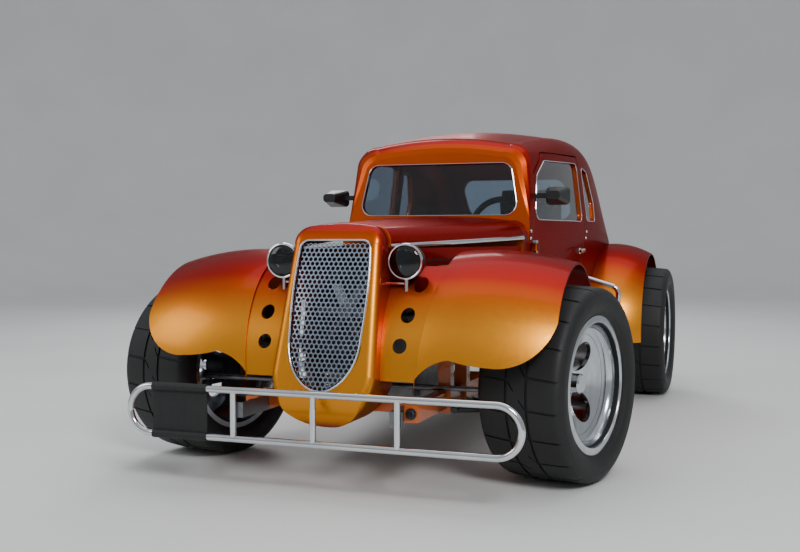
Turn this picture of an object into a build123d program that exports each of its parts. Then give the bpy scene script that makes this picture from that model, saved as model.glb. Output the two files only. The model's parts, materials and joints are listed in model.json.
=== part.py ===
"""A five-eighths-scale hot rod coupe: a racer with tube bumpers, raked grille, open fenders and wide wheels.

Frame: millimetres, +Z up, the nose points to -Y, +X is the driver's left, the floor is z = 0
and the origin is the middle of the car's length and width.
"""
import os
from math import cos, radians, sin, tan

from build123d import *

# Wheels and stance
WHEELBASE = 1854.0
FRONT_AXLE_Y = -1070.0
TRACK = 1206.0
TYRE_RADIUS = 292.0
TYRE_WIDTH = 265.0
TREAD_WIDTH = 222.0
TREAD_CROWN = 5.0
TYRE_HEEL = 6.0
RIM_LIP_RADIUS = 205.0
RIM_WIDTH = 232.0
RIM_FLANGE = 7.5
RIM_BARREL_RADIUS = 197.0
RIM_BARREL_WALL = 8.0
DISC_OUTER_DEPTH = 34.0
DISC_INNER_DEPTH = 90.0
DISC_WALL = 12.0
HUB_PAD_RADIUS = 40.0
HUB_CAP_RADIUS = 30.0
HUB_CAP_DEPTH = 46.0
DISC_HOLE_COUNT = 3
DISC_HOLE_RADIUS = 45.0
DISC_HOLE_CIRCLE = 88.0
SPINDLE_RADIUS = 20.0
SPINDLE_REACH = 45.0
RUNNING_CLEARANCE = 0.08
STEER_REST_DEG = 13.9
KINGPIN_X = 528.0
KINGPIN_RADIUS = 10.0
STEER_ARM_REACH = 130.0
STEER_ARM_INSET = 15.0
SEAT_GAP = 0.3

# Chassis frame
RAIL_X = 250.0
RAIL_WIDTH = 40.0
RAIL_HEIGHT = 50.0
RAIL_Z = 232.0
HORN_Y = -1442.0
KICK_Z = 440.0
TAIL_RAIL_Z = RAIL_Z
TAIL_RAIL_Y = 1440.0
CROSS_HEIGHT = 36.0
CROSS_DEPTH = 40.0
CROSS_PLACES = ((-640.0, RAIL_Z), (400.0, RAIL_Z), (960.0, KICK_Z), (1340.0, TAIL_RAIL_Z))
JACK_PAD_Y = (-330.0, 300.0)
JACK_PAD_HALF = 45.0
JACK_PAD_WALL = 6.0

# Bumpers
BUMPER_Y = 1555.0
BUMPER_HALF = 594.0
BUMPER_TOP_Z = 289.0
BUMPER_LOW_Z = 150.0
BUMPER_TUBE = 10.0
BUMPER_POST = 9.0
BUMPER_PLATE_X = (-515.0, -335.0)
BUMPER_PLATE_WALL = 3.0
BRACKET_WALL = 6.0

# Nose, grille and lamps
NOSE_HALF = 160.0
NOSE_TOP_HALF = 140.0
NOSE_TOP_EDGE_Z = 700.0
NOSE_FOOT_Z = 330.0
NOSE_BACK_Y = -1332.0
NOSE_WALL = 10.0
NOSE_ROUND = 26.0
NOSE_TOP_Z = 768.0
CHIN_Z = 178.0
GRILLE_TOP = (-1390.0, 718.0)
GRILLE_LOW = (-1517.0, 292.0)
GRILLE_EDGE = 14.0
GRILLE_SHEET = 3.0
MESH_PITCH = 25.0
MESH_HOLE = 10.0
LAMP_X = 196.0
LAMP_Y = -1354.0
LAMP_Z = 656.0
LAMP_RADIUS = 52.0
LAMP_DEPTH = 74.0
LENS_DEPTH = 14.0
LENS_EDGE = 5.0

# Hood and cowl
HOOD_FRONT = dict(y=-1331.2, half=146.0, edge_z=698.0, crown_z=768.0)
HOOD_REAR = dict(y=-519.8, half=350.0, edge_z=722.0, crown_z=801.0)
HOOD_WALL = 8.0
SHOULDER_SHARE = 0.80
SIDE_INSET = 9.0
SIDE_WALL = 6.0
SIDE_LOW_Z = 430.0
SIDE_TOP_Z = 694.0
SIDE_STEP_Y = -1180.0
SIDE_STEP_Z = 560.0

COWL_FRONT_HALF = 351.0
COWL_WALL = 12.0

# Cab and tail
SILL_Z = 261.3
BELT_Z = 750.0
CAB_WALL = 26.0
GLASS_INSET = 9.0
GLASS_WALL = 5.0
SCREEN_FOOT = (-445.0, 800.0)
SCREEN_RAKE_DEG = 8.5
HEADER_ROUND = 46.0
HEADER_STEPS = 4
HEADER_CLEAR = 1.5
HEADER_RUN = 32.0
DOOR_GAP = 6.0

# Fenders
FENDER_WALL = 6.0
FENDER_LIP_X = 648.0
FENDER_LIP_RADIUS = 358.0
FENDER_CROWN_X = 460.0
FENDER_CROWN_RADIUS = 393.0
FENDER_INNER_X = 250.0
FENDER_INNER_RADIUS = 384.0
SEAM_FOOT = (263.0, 331.0)
SEAM_HEAD = (294.0, 640.0)
FRONT_FENDER_SPAN_DEG = (2.0, 148.0)
REAR_FENDER_SPAN_DEG = (-4.0, 188.0)
REAR_FENDER_INNER_X = 300.0
REAR_FENDER_LIP_RADIUS = 356.0
REAR_FENDER_CROWN_RADIUS = 398.0

REAR_AXLE_Y = FRONT_AXLE_Y + WHEELBASE
WHEEL_X = TRACK / 2
RAIL_TOP = RAIL_Z + RAIL_HEIGHT / 2
RAIL_LOW = RAIL_Z - RAIL_HEIGHT / 2
FLOOR_WALL = 4.0
FLOOR_Z = RAIL_TOP + FLOOR_WALL
FAR = 900.0

# One row per station of the cab and tail: distance along the car, then half widths and heights of
# the sill, the belt line, the roof rail and the crown of the roof or deck.
CAB_COLUMNS = ("y", "sill", "belt", "belt_z", "rail", "rail_z", "crown_z")
CAB_STATIONS = [
    dict(zip(CAB_COLUMNS, row))
    for row in (
        (-475.0, 338.0, 354.0, BELT_Z, 338.0, 985.0, 1076.0),
        (-330.0, 348.0, 376.0, BELT_Z, 352.0, 1003.0, 1106.0),
        (-100.0, 362.0, 409.0, BELT_Z, 380.0, 1031.0, 1144.0),
        (200.0, 376.0, 440.0, BELT_Z, 404.0, 1048.0, 1167.0),
        (430.0, 382.0, 453.0, BELT_Z, 409.0, 1030.0, 1157.0),
        (610.0, 382.0, 455.0, 748.0, 407.0, 978.0, 1106.0),
        (750.0, 376.0, 450.0, 730.0, 410.0, 890.0, 1008.0),
        (870.0, 370.0, 440.0, 690.0, 415.0, 795.0, 880.0),
        (1010.0, 358.0, 418.0, 620.0, 402.0, 712.0, 762.0),
        (1210.0, 330.0, 374.0, 530.0, 360.0, 615.0, 645.0),
        (1390.0, 288.0, 318.0, 430.0, 306.0, 500.0, 522.0),
        (1480.0, 250.0, 272.0, 370.0, 262.0, 425.0, 444.0),
    )
]


def mirrored(shape):
    """The same shape on the other side of the car."""
    return mirror(shape, about=Plane.YZ)


def both(shape):
    """The shape and its mirror image."""
    return [shape, mirrored(shape)]


def prism_x(edges, low, high):
    """Solid whose side-view outline, drawn at x = 0, spans from x = low to x = high."""
    return Pos(low, 0, 0) * extrude(make_face(edges), amount=high - low, dir=(1, 0, 0))


def prism_y(edges, low, high):
    """Solid whose front-view outline, drawn at y = 0, spans from y = low to y = high."""
    return Pos(0, low, 0) * extrude(make_face(edges), amount=high - low, dir=(0, 1, 0))


def prism_z(edges, low, high):
    """Solid whose plan outline, drawn at z = 0, spans from z = low to z = high."""
    return Pos(0, 0, low) * extrude(make_face(edges), amount=high - low, dir=(0, 0, 1))


def block(x, y, z):
    """Box from (low, high) pairs along the three axes."""
    size = [pair[1] - pair[0] for pair in (x, y, z)]
    middle = [(pair[0] + pair[1]) / 2 for pair in (x, y, z)]
    return Pos(*middle) * Box(*size)


def rod(start, end, radius):
    """Round bar from one point to another."""
    axis = Vector(*end) - Vector(*start)
    plane = Plane(origin=start, z_dir=axis)
    return extrude(plane * Circle(radius), amount=axis.length)


def bent_tube(points, radius, bend):
    """Round tube along straight runs joined by arcs."""
    path = FilletPolyline(*points, radius=bend)
    start = Plane(origin=path @ 0, z_dir=path % 0)
    return sweep(start * Circle(radius), path=path)


def side_outline(points, bend):
    """Closed side-view outline with rounded corners, as a wire in the plane x = 0."""
    return FilletPolyline(*[(0, y, z) for y, z in points], radius=bend, close=True)


def front_outline(points, bend):
    """Closed front-view outline with rounded corners, as a wire in the plane y = 0."""
    return FilletPolyline(*[(x, 0, z) for x, z in points], radius=bend, close=True)


# Wheels: built about the origin with the spin axis along X and the outer face towards +X

def wheel_tyre():
    """Tyre with a crowned tread, round shoulders, bulged walls and a bead each side of the rim."""
    half = TYRE_WIDTH / 2
    seat = RIM_WIDTH / 2 - RIM_FLANGE - SEAT_GAP
    bead = RIM_BARREL_RADIUS + SEAT_GAP
    rim_clear = RIM_LIP_RADIUS + 1.0
    tread = TREAD_WIDTH / 2
    shoulder = TYRE_RADIUS - TREAD_CROWN
    bulge = (RIM_LIP_RADIUS + TYRE_RADIUS) / 2

    def side(sign):
        """Edges of one wall, from the tread to the bead."""
        def at(x, r):
            return (sign * x, 0, r)

        heel = seat + TYRE_HEEL
        return [
            ThreePointArc(at(tread, shoulder), at(half - 6, TYRE_RADIUS - 15), at(half, bulge)),
            ThreePointArc(at(half, bulge), at(half - 3, bulge - 22), at(heel, rim_clear)),
            Polyline(at(heel, rim_clear), at(seat, rim_clear), at(seat, bead)),
        ]

    crown = ThreePointArc((-tread, 0, shoulder), (0, 0, TYRE_RADIUS), (tread, 0, shoulder))
    bore = Line((-seat, 0, bead), (seat, 0, bead))
    return revolve(make_face([crown, *side(1), *side(-1), bore]), axis=Axis.X)


def wheel_rim():
    """Barrel with two flanges and a dished disc with round windows and a long hub."""
    edge = RIM_WIDTH / 2
    inner = RIM_BARREL_RADIUS - RIM_BARREL_WALL
    barrel = [
        (-edge, RIM_LIP_RADIUS), (-edge, inner), (edge, inner), (edge, RIM_LIP_RADIUS),
        (edge - RIM_FLANGE, RIM_LIP_RADIUS), (edge - RIM_FLANGE, RIM_BARREL_RADIUS),
        (-edge + RIM_FLANGE, RIM_BARREL_RADIUS), (-edge + RIM_FLANGE, RIM_LIP_RADIUS),
    ]
    outer_x = edge - DISC_OUTER_DEPTH
    inner_x = edge - DISC_INNER_DEPTH
    cap_x = edge - HUB_CAP_DEPTH
    disc = [
        (0, 0), (cap_x, 0), (cap_x, HUB_CAP_RADIUS - 5), (cap_x - 5, HUB_CAP_RADIUS),
        (inner_x + 5, HUB_CAP_RADIUS), (inner_x, HUB_PAD_RADIUS), (outer_x, inner + 1),
        (outer_x - DISC_WALL, inner + 1), (inner_x - DISC_WALL, HUB_PAD_RADIUS + 4),
        (0, HUB_PAD_RADIUS + 4),
    ]
    ring = revolve(make_face(Polyline(*[(x, 0, r) for x, r in barrel], close=True)), axis=Axis.X)
    dish = revolve(make_face(Polyline(*[(x, 0, r) for x, r in disc], close=True)), axis=Axis.X)
    window = rod((0, 0, DISC_HOLE_CIRCLE), (edge, 0, DISC_HOLE_CIRCLE), DISC_HOLE_RADIUS)
    turns = [Rot(360 * i / DISC_HOLE_COUNT + 90, 0, 0) * window for i in range(DISC_HOLE_COUNT)]
    bore = rod((-1, 0, 0), (SPINDLE_REACH + 1, 0, 0), SPINDLE_RADIUS + RUNNING_CLEARANCE)
    return ring + dish.cut(*turns) - bore


def front_wheel_place(sign):
    """Location of a front wheel's centre, turned about its kingpin as it is parked."""
    turn = Pos(sign * KINGPIN_X, FRONT_AXLE_Y, TYRE_RADIUS) * Rot(0, 0, -STEER_REST_DEG)
    return turn * Pos(sign * (WHEEL_X - KINGPIN_X), 0, 0)


def rear_wheel_place(sign):
    """Location of a rear wheel's centre."""
    return Pos(sign * WHEEL_X, REAR_AXLE_Y, TYRE_RADIUS)


def wheels(parts):
    """Four tyres on four rims."""
    tyre, rim = wheel_tyre(), wheel_rim()
    corners = {
        "front_left": (front_wheel_place, 1), "front_right": (front_wheel_place, -1),
        "rear_left": (rear_wheel_place, 1), "rear_right": (rear_wheel_place, -1),
    }
    for name, (place, sign) in corners.items():
        for kind, shape in (("tyre", tyre), ("rim", rim)):
            hand = shape if sign > 0 else mirrored(shape)
            parts[f"{kind}_{name}"] = place(sign) * hand


# Front suspension and steering
ARM_TOP_Z = TYRE_RADIUS + 88.0
ARM_LOW_Z = TYRE_RADIUS - 88.0
ARM_EYE_RADIUS = 21.0
ARM_EYE_HALF = 13.0
ARM_TUBE = 11.0
TOWER_X = (242.0, 282.0)
ARM_FOOT_X = TOWER_X[1]
ARM_FOOT_SPREAD = 85.0
TOWER_TOP_Z = 640.0
TOWER_HALF = 18.0
TOWER_FOOT_Z = 192.0
COIL_RADIUS = 29.0
COIL_FOOT_X = 425.0
COIL_FOOT_REACH = 55.0
COIL_HEAD_X = 312.0
COIL_HEAD_Z = TOWER_TOP_Z - 30.0
DAMPER_RADIUS = 13.0
COIL_LEAN = (COIL_FOOT_X - COIL_HEAD_X) / (COIL_HEAD_Z - ARM_LOW_Z)
COIL_TIP = DAMPER_RADIUS * COIL_LEAN / (1 + COIL_LEAN**2) ** 0.5
STEER_ARM_Z = 250.0
STEER_ARM_HALF = 9.0
LINK_RADIUS = 8.0
LINK_Z = STEER_ARM_Z + STEER_ARM_HALF + 14.0


def knuckle(sign):
    """Upright with its kingpins, wheel spindle and steering arm, turned as it is parked."""
    upright_half = ARM_TOP_Z - TYRE_RADIUS - ARM_EYE_HALF - SEAT_GAP
    pin_half = ARM_TOP_Z - TYRE_RADIUS + ARM_EYE_HALF
    offset = WHEEL_X - KINGPIN_X
    body = Box(38, 52, 2 * upright_half)
    pins = Cylinder(KINGPIN_RADIUS, 2 * pin_half)
    flange = rod((0, 0, 0), (offset - SEAT_GAP, 0, 0), HUB_PAD_RADIUS)
    spindle = rod((0, 0, 0), (offset + SPINDLE_REACH, 0, 0), SPINDLE_RADIUS)
    arm_z = STEER_ARM_Z - TYRE_RADIUS
    arm = rod((0, -10, arm_z), (-STEER_ARM_INSET, -STEER_ARM_REACH, arm_z), STEER_ARM_HALF)
    eye = Pos(-STEER_ARM_INSET, -STEER_ARM_REACH, arm_z) * Cylinder(16, 2 * STEER_ARM_HALF)
    shape = body + pins + flange + spindle + arm + eye
    hand = shape if sign > 0 else mirrored(shape)
    return Pos(sign * KINGPIN_X, FRONT_AXLE_Y, TYRE_RADIUS) * Rot(0, 0, -STEER_REST_DEG) * hand


def wishbone(eye_z):
    """Two-legged arm from the frame to the kingpin's eye, on the +X side."""
    eye = Pos(KINGPIN_X, FRONT_AXLE_Y, eye_z) * Cylinder(ARM_EYE_RADIUS, 2 * ARM_EYE_HALF)
    bore_radius = KINGPIN_RADIUS + RUNNING_CLEARANCE
    bore = Pos(KINGPIN_X, FRONT_AXLE_Y, eye_z) * Cylinder(bore_radius, 4 * ARM_EYE_HALF)
    shape = eye
    for side in (-1, 1):
        foot = (ARM_FOOT_X + SEAT_GAP + ARM_TUBE, FRONT_AXLE_Y + side * ARM_FOOT_SPREAD, eye_z)
        shape = shape + rod(foot, (KINGPIN_X - ARM_EYE_RADIUS / 2, FRONT_AXLE_Y, eye_z), ARM_TUBE)
        shape = shape + Pos(*foot) * Rot(90, 0, 0) * Cylinder(ARM_TUBE, 40)
    return shape - bore


def coil_over():
    """Coil spring over damper, drawn as a stepped tube, from the lower arm to the tower, on the +X side."""
    foot = Vector(COIL_FOOT_X, FRONT_AXLE_Y, ARM_LOW_Z)
    head = Vector(COIL_HEAD_X, FRONT_AXLE_Y, COIL_HEAD_Z)
    along = head - foot
    spring = rod(tuple(foot + along * 0.28), tuple(foot + along * 0.86), COIL_RADIUS)
    damper = rod(tuple(foot), tuple(head), DAMPER_RADIUS)
    ends = [(COIL_FOOT_X, FRONT_AXLE_Y + reach, ARM_LOW_Z) for reach in (-COIL_FOOT_REACH, COIL_FOOT_REACH)]
    foot_bar = rod(*ends, ARM_TUBE)
    return spring + damper + foot_bar


def front_suspension(parts):
    """Upper and lower arms on both sides, with a coil-over on each lower one."""
    lower = wishbone(ARM_LOW_Z) + coil_over()
    upper = wishbone(ARM_TOP_Z)
    parts["front_suspension"] = Compound(children=[*both(lower), *both(upper)])


def steering_link(parts):
    """Cross link over the rails, with a stud down to each steering arm, where the parked wheels put it."""
    turn = radians(STEER_REST_DEG)

    def pin(sign):
        """Where a steering arm's eye is in plan."""
        x, y = -sign * STEER_ARM_INSET, -STEER_ARM_REACH
        across = x * cos(turn) + y * sin(turn)
        along = y * cos(turn) - x * sin(turn)
        return (sign * KINGPIN_X + across, FRONT_AXLE_Y + along)

    left, right = pin(1), pin(-1)
    y = (left[1] + right[1]) / 2
    bar = rod((right[0] - 12, y, LINK_Z), (left[0] + 12, y, LINK_Z), LINK_RADIUS)
    stud_foot = STEER_ARM_Z + STEER_ARM_HALF + SEAT_GAP
    for x, _ in (left, right):
        bar = bar + rod((x, y, stud_foot), (x, y, LINK_Z), 6.0)
    parts["steering_link"] = bar


# Rear axle
AXLE_TUBE = 38.0
DIFF_RADIUS = 105.0
DIFF_WIDTH = 150.0
DIFF_ROUND = 30.0
SHAFT_RADIUS = 24.0
ENGINE_Y = (-1125.0, -705.0)
ENGINE_HALF = 150.0
ENGINE_TOP_Z = 655.0
CRANK_TOP_Z = 430.0
FIN_PITCH = 24
SHAFT_Z = 303.0


def rear_axle(parts):
    """Live axle with its final drive, and the shaft from the engine to it."""
    end = WHEEL_X - SEAT_GAP
    tube = rod((-end, REAR_AXLE_Y, TYRE_RADIUS), (end, REAR_AXLE_Y, TYRE_RADIUS), AXLE_TUBE)
    spindle = rod((-end - SPINDLE_REACH, REAR_AXLE_Y, TYRE_RADIUS),
                  (end + SPINDLE_REACH, REAR_AXLE_Y, TYRE_RADIUS), SPINDLE_RADIUS)
    ends = [(x, REAR_AXLE_Y, TYRE_RADIUS) for x in (-DIFF_WIDTH / 2, DIFF_WIDTH / 2)]
    case = fillet(rod(*ends, DIFF_RADIUS).edges(), DIFF_ROUND)
    nose = rod((0, REAR_AXLE_Y, TYRE_RADIUS), (0, REAR_AXLE_Y - DIFF_RADIUS - 40, TYRE_RADIUS), 46)
    shaft_front = ENGINE_Y[1] + SEAT_GAP
    shaft = rod((0, shaft_front, SHAFT_Z), (0, REAR_AXLE_Y - DIFF_RADIUS, TYRE_RADIUS + 2), SHAFT_RADIUS)
    front_face = block((-60, 60), (ENGINE_Y[1] - 60, ENGINE_Y[1] + SEAT_GAP), (SHAFT_Z - 60, SHAFT_Z + 60))
    parts["rear_axle"] = tube + spindle + case + nose
    parts["driveshaft"] = shaft - front_face - case - nose


def rear_suspension(parts):
    """Trailing link, axle clasp and coil-over on each side."""
    link_x = RAIL_X + RAIL_WIDTH / 2 + 28
    foot = (link_x, 380, RAIL_Z)
    link = rod(foot, (link_x, REAR_AXLE_Y - AXLE_TUBE - 8, TYRE_RADIUS - 6), 13)
    clasp = Pos(link_x, REAR_AXLE_Y, TYRE_RADIUS) * Rot(0, 90, 0) * Cylinder(AXLE_TUBE + 12, 30)
    rail_side = RAIL_X + RAIL_WIDTH / 2 + SEAT_GAP
    pivot = rod((rail_side, 380, RAIL_Z), (link_x + 14, 380, RAIL_Z), 16)
    coil_head = (link_x, REAR_AXLE_Y, KICK_Z + 130)
    coil = rod((link_x, REAR_AXLE_Y, TYRE_RADIUS), coil_head, 12)
    spring = rod((link_x, REAR_AXLE_Y, TYRE_RADIUS + 70), (link_x, REAR_AXLE_Y, KICK_Z + 100), 27)
    head_pin = rod((rail_side, REAR_AXLE_Y, KICK_Z + 118), (link_x + 14, REAR_AXLE_Y, KICK_Z + 118), 11)
    bore = Pos(link_x, REAR_AXLE_Y, TYRE_RADIUS) * Rot(0, 90, 0) * Cylinder(AXLE_TUBE + SEAT_GAP, 200)
    shape = (link + clasp + pivot + coil + spring + head_pin) - bore
    parts["rear_suspension"] = Compound(children=both(shape))


# Chassis

def chassis_frame(parts):
    """Two rails kicked up over the rear axle, with cross members, spring towers and jacking pads."""
    half = RAIL_HEIGHT / 2
    path = [
        (HORN_Y, RAIL_Z), (470.0, RAIL_Z), (610.0, KICK_Z), (990.0, KICK_Z),
        (1140.0, TAIL_RAIL_Z), (TAIL_RAIL_Y, TAIL_RAIL_Z),
    ]
    upper = [(y, z + half) for y, z in path]
    lower = [(y, z - half) for y, z in reversed(path)]
    outline = Polyline(*[(0, y, z) for y, z in upper + lower], close=True)
    rail = prism_x(outline, RAIL_X - RAIL_WIDTH / 2, RAIL_X + RAIL_WIDTH / 2)
    frame = rail + mirrored(rail)
    cross_half = CROSS_HEIGHT / 2
    front_cross = NOSE_BACK_Y + SEAT_GAP + CROSS_DEPTH / 2
    for y, z in ((front_cross, RAIL_Z), *CROSS_PLACES):
        along = (y - CROSS_DEPTH / 2, y + CROSS_DEPTH / 2)
        frame = frame + block((-RAIL_X, RAIL_X), along, (z - cross_half, z + cross_half))
    for sign in (-1, 1):
        y = FRONT_AXLE_Y + sign * ARM_FOOT_SPREAD
        leg = block(TOWER_X, (y - TOWER_HALF, y + TOWER_HALF), (TOWER_FOOT_Z, TOWER_TOP_Z))
        frame = frame + leg + mirrored(leg)
    head = block((TOWER_X[0], COIL_HEAD_X + 20),
                 (FRONT_AXLE_Y - ARM_FOOT_SPREAD, FRONT_AXLE_Y + ARM_FOOT_SPREAD),
                 (COIL_HEAD_Z + COIL_TIP + SEAT_GAP, TOWER_TOP_Z))
    post_x = (RAIL_X - RAIL_WIDTH / 2, RAIL_X + RAIL_WIDTH / 2)
    post = block(post_x, (REAR_AXLE_Y - TOWER_HALF, REAR_AXLE_Y + TOWER_HALF), (KICK_Z, KICK_Z + 140))
    for y in JACK_PAD_Y:
        pad = block(post_x, (y - JACK_PAD_HALF, y + JACK_PAD_HALF), (RAIL_LOW - JACK_PAD_WALL, RAIL_LOW))
        frame = frame + pad + mirrored(pad)
    frame = frame + head + mirrored(head) + post + mirrored(post)
    parts["chassis_frame"] = frame


def inner_half(y):
    """Half width inside the cab walls at the sill, at a distance along the car."""
    rows = CAB_STATIONS
    for a, b in zip(rows, rows[1:]):
        if a["y"] <= y <= b["y"]:
            t = (y - a["y"]) / (b["y"] - a["y"])
            return a["sill"] + t * (b["sill"] - a["sill"]) - CAB_WALL
    raise ValueError("station outside the cab")


TUNNEL_HALF = 42.0
TUNNEL_TOP_Z = 345.0
TUB_FRONT_Y = -519.0
TUB_BACK_Y = 430.0
TUB_BACK_TOP_Z = 690.0


def floor_pan(parts):
    """Floor with its shaft tunnel and the panel behind the seat."""
    back = inner_half(TUB_BACK_Y) - 2
    edge = [(COWL_FRONT_HALF, TUB_FRONT_Y)]
    edge += [(row["sill"], row["y"]) for row in CAB_STATIONS if -400 < row["y"] <= TUB_BACK_Y]
    plan = Polyline(*edge, *[(-x, y) for x, y in reversed(edge)], close=True)
    floor = prism_z(plan, RAIL_TOP, FLOOR_Z)
    tunnel = block((-TUNNEL_HALF, TUNNEL_HALF), (TUB_FRONT_Y, TUB_BACK_Y), (RAIL_TOP, TUNNEL_TOP_Z))
    wall = block((-back, back), (TUB_BACK_Y - FLOOR_WALL, TUB_BACK_Y), (RAIL_TOP, TUB_BACK_TOP_Z))
    hollow = block((-TUNNEL_HALF + FLOOR_WALL, TUNNEL_HALF - FLOOR_WALL), (TUB_FRONT_Y - 1, TUB_BACK_Y + 1),
                   (RAIL_TOP - 1, TUNNEL_TOP_Z - FLOOR_WALL))
    parts["floor_pan"] = floor + tunnel + wall - hollow


# Bumpers and side bars

def bumper(y):
    """Closed tube loop with round ends and three posts, standing in the plane of that y."""
    mid = (BUMPER_TOP_Z + BUMPER_LOW_Z) / 2
    bend = (BUMPER_TOP_Z - BUMPER_LOW_Z) / 2
    straight = BUMPER_HALF - bend
    path = Wire([
        Line((-straight, y, BUMPER_TOP_Z), (straight, y, BUMPER_TOP_Z)),
        ThreePointArc((straight, y, BUMPER_TOP_Z), (BUMPER_HALF, y, mid), (straight, y, BUMPER_LOW_Z)),
        Line((straight, y, BUMPER_LOW_Z), (-straight, y, BUMPER_LOW_Z)),
        ThreePointArc((-straight, y, BUMPER_LOW_Z), (-BUMPER_HALF, y, mid), (-straight, y, BUMPER_TOP_Z)),
    ])
    section = Plane(origin=(-straight, y, BUMPER_TOP_Z), z_dir=(1, 0, 0)) * Circle(BUMPER_TUBE)
    loop = sweep(section, path=path)
    for x in (-RAIL_X, 0.0, RAIL_X):
        loop = loop + rod((x, y, BUMPER_LOW_Z), (x, y, BUMPER_TOP_Z), BUMPER_POST)
    return loop


def bumpers(parts):
    """Front and rear bumper loops, the wrapped plate on the front one and the straps that carry them."""
    parts["front_bumper"] = bumper(-BUMPER_Y)
    parts["rear_bumper"] = bumper(BUMPER_Y)
    low, high = BUMPER_PLATE_X
    sleeve_radius = BUMPER_TUBE + BUMPER_PLATE_WALL
    plate = block((low, high), (-BUMPER_Y - BUMPER_PLATE_WALL / 2, -BUMPER_Y + BUMPER_PLATE_WALL / 2),
                  (BUMPER_LOW_Z, BUMPER_TOP_Z))
    for z in (BUMPER_LOW_Z, BUMPER_TOP_Z):
        plate = plate + rod((low, -BUMPER_Y, z), (high, -BUMPER_Y, z), sleeve_radius)
    for z in (BUMPER_LOW_Z, BUMPER_TOP_Z):
        plate = plate - rod((low - 1, -BUMPER_Y, z), (high + 1, -BUMPER_Y, z), BUMPER_TUBE + SEAT_GAP)
    parts["bumper_plate"] = plate
    straps = []
    for end_y, frame_y, z in ((-BUMPER_Y, HORN_Y, RAIL_Z), (BUMPER_Y, TAIL_RAIL_Y, TAIL_RAIL_Z)):
        toward = 1 if end_y < 0 else -1
        near = end_y + toward * (BUMPER_POST + SEAT_GAP)
        z = min(z, BUMPER_TOP_Z - BUMPER_TUBE - 26)
        y_pair = sorted((near, frame_y + toward * 60))
        x_low = RAIL_X - RAIL_WIDTH / 2 - SEAT_GAP - BRACKET_WALL
        arm = block((x_low, x_low + BRACKET_WALL), y_pair, (z - 22, z + 22))
        pad = block((x_low, RAIL_X + 12), sorted((near, near + toward * BRACKET_WALL)), (z - 22, z + 22))
        straps += both(arm + pad)
    parts["bumper_brackets"] = Compound(children=straps)


SIDE_BAR_X = 553.0
SIDE_BAR_REAR_Y = 330.0
SIDE_BAR_FRONT_Y = -590.0
SIDE_BAR_TUBE = 11.0
SIDE_BAR_ELBOW_Z = 508.0
SIDE_BAR_BODY = (390.0, 560.0)


def side_bars(parts):
    """Side tube on each side between the wheels, its rear end turned up to the body."""
    inner = RAIL_X + RAIL_WIDTH / 2 + SEAT_GAP
    points = [
        (inner, SIDE_BAR_FRONT_Y, RAIL_Z),
        (SIDE_BAR_X - 60, SIDE_BAR_FRONT_Y, RAIL_Z),
        (SIDE_BAR_X, SIDE_BAR_FRONT_Y + 90, RAIL_Z),
        (SIDE_BAR_X, SIDE_BAR_REAR_Y, RAIL_Z),
        (SIDE_BAR_X + 12, SIDE_BAR_REAR_Y, SIDE_BAR_ELBOW_Z),
        (SIDE_BAR_BODY[0], SIDE_BAR_REAR_Y, SIDE_BAR_BODY[1]),
    ]
    bar = bent_tube(points, SIDE_BAR_TUBE, 36)
    tie = rod((inner, 100.0, RAIL_Z), (SIDE_BAR_X, 100.0, RAIL_Z), SIDE_BAR_TUBE * 0.8)
    parts["side_bars"] = Compound(children=both(bar + tie - cab_form(-SEAT_GAP)))


# Nose and hood
GRILLE_RAKE = (GRILLE_TOP[0] - GRILLE_LOW[0]) / (GRILLE_TOP[1] - GRILLE_LOW[1])


def grille_front_y(z):
    """Where the raked grille plane is at a height."""
    return GRILLE_LOW[0] + (z - GRILLE_LOW[1]) * GRILLE_RAKE


def shield(half, top, low, grow=0.0):
    """Shield outline of the grille in the front view: flat top, nearly straight sides, round foot."""
    w = half + grow
    return [
        ThreePointArc((-0.80 * w, 0, top + grow), (0, 0, top + grow - 3), (0.80 * w, 0, top + grow)),
        ThreePointArc((0.80 * w, 0, top + grow), (0.93 * w, 0, top + grow - 9), (0.97 * w, 0, top - 26)),
        ThreePointArc((0.97 * w, 0, top - 26), (w, 0, top - 140), (0.955 * w, 0, low + 150)),
        ThreePointArc((0.955 * w, 0, low + 150), (0.66 * w, 0, low + 42 - grow * 0.7), (0, 0, low - grow)),
        ThreePointArc((0, 0, low - grow), (-0.66 * w, 0, low + 42 - grow * 0.7), (-0.955 * w, 0, low + 150)),
        ThreePointArc((-0.955 * w, 0, low + 150), (-w, 0, top - 140), (-0.97 * w, 0, top - 26)),
        ThreePointArc((-0.97 * w, 0, top - 26), (-0.93 * w, 0, top + grow - 9), (-0.80 * w, 0, top + grow)),
    ]


GRILLE_HALF = 118.0


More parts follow.
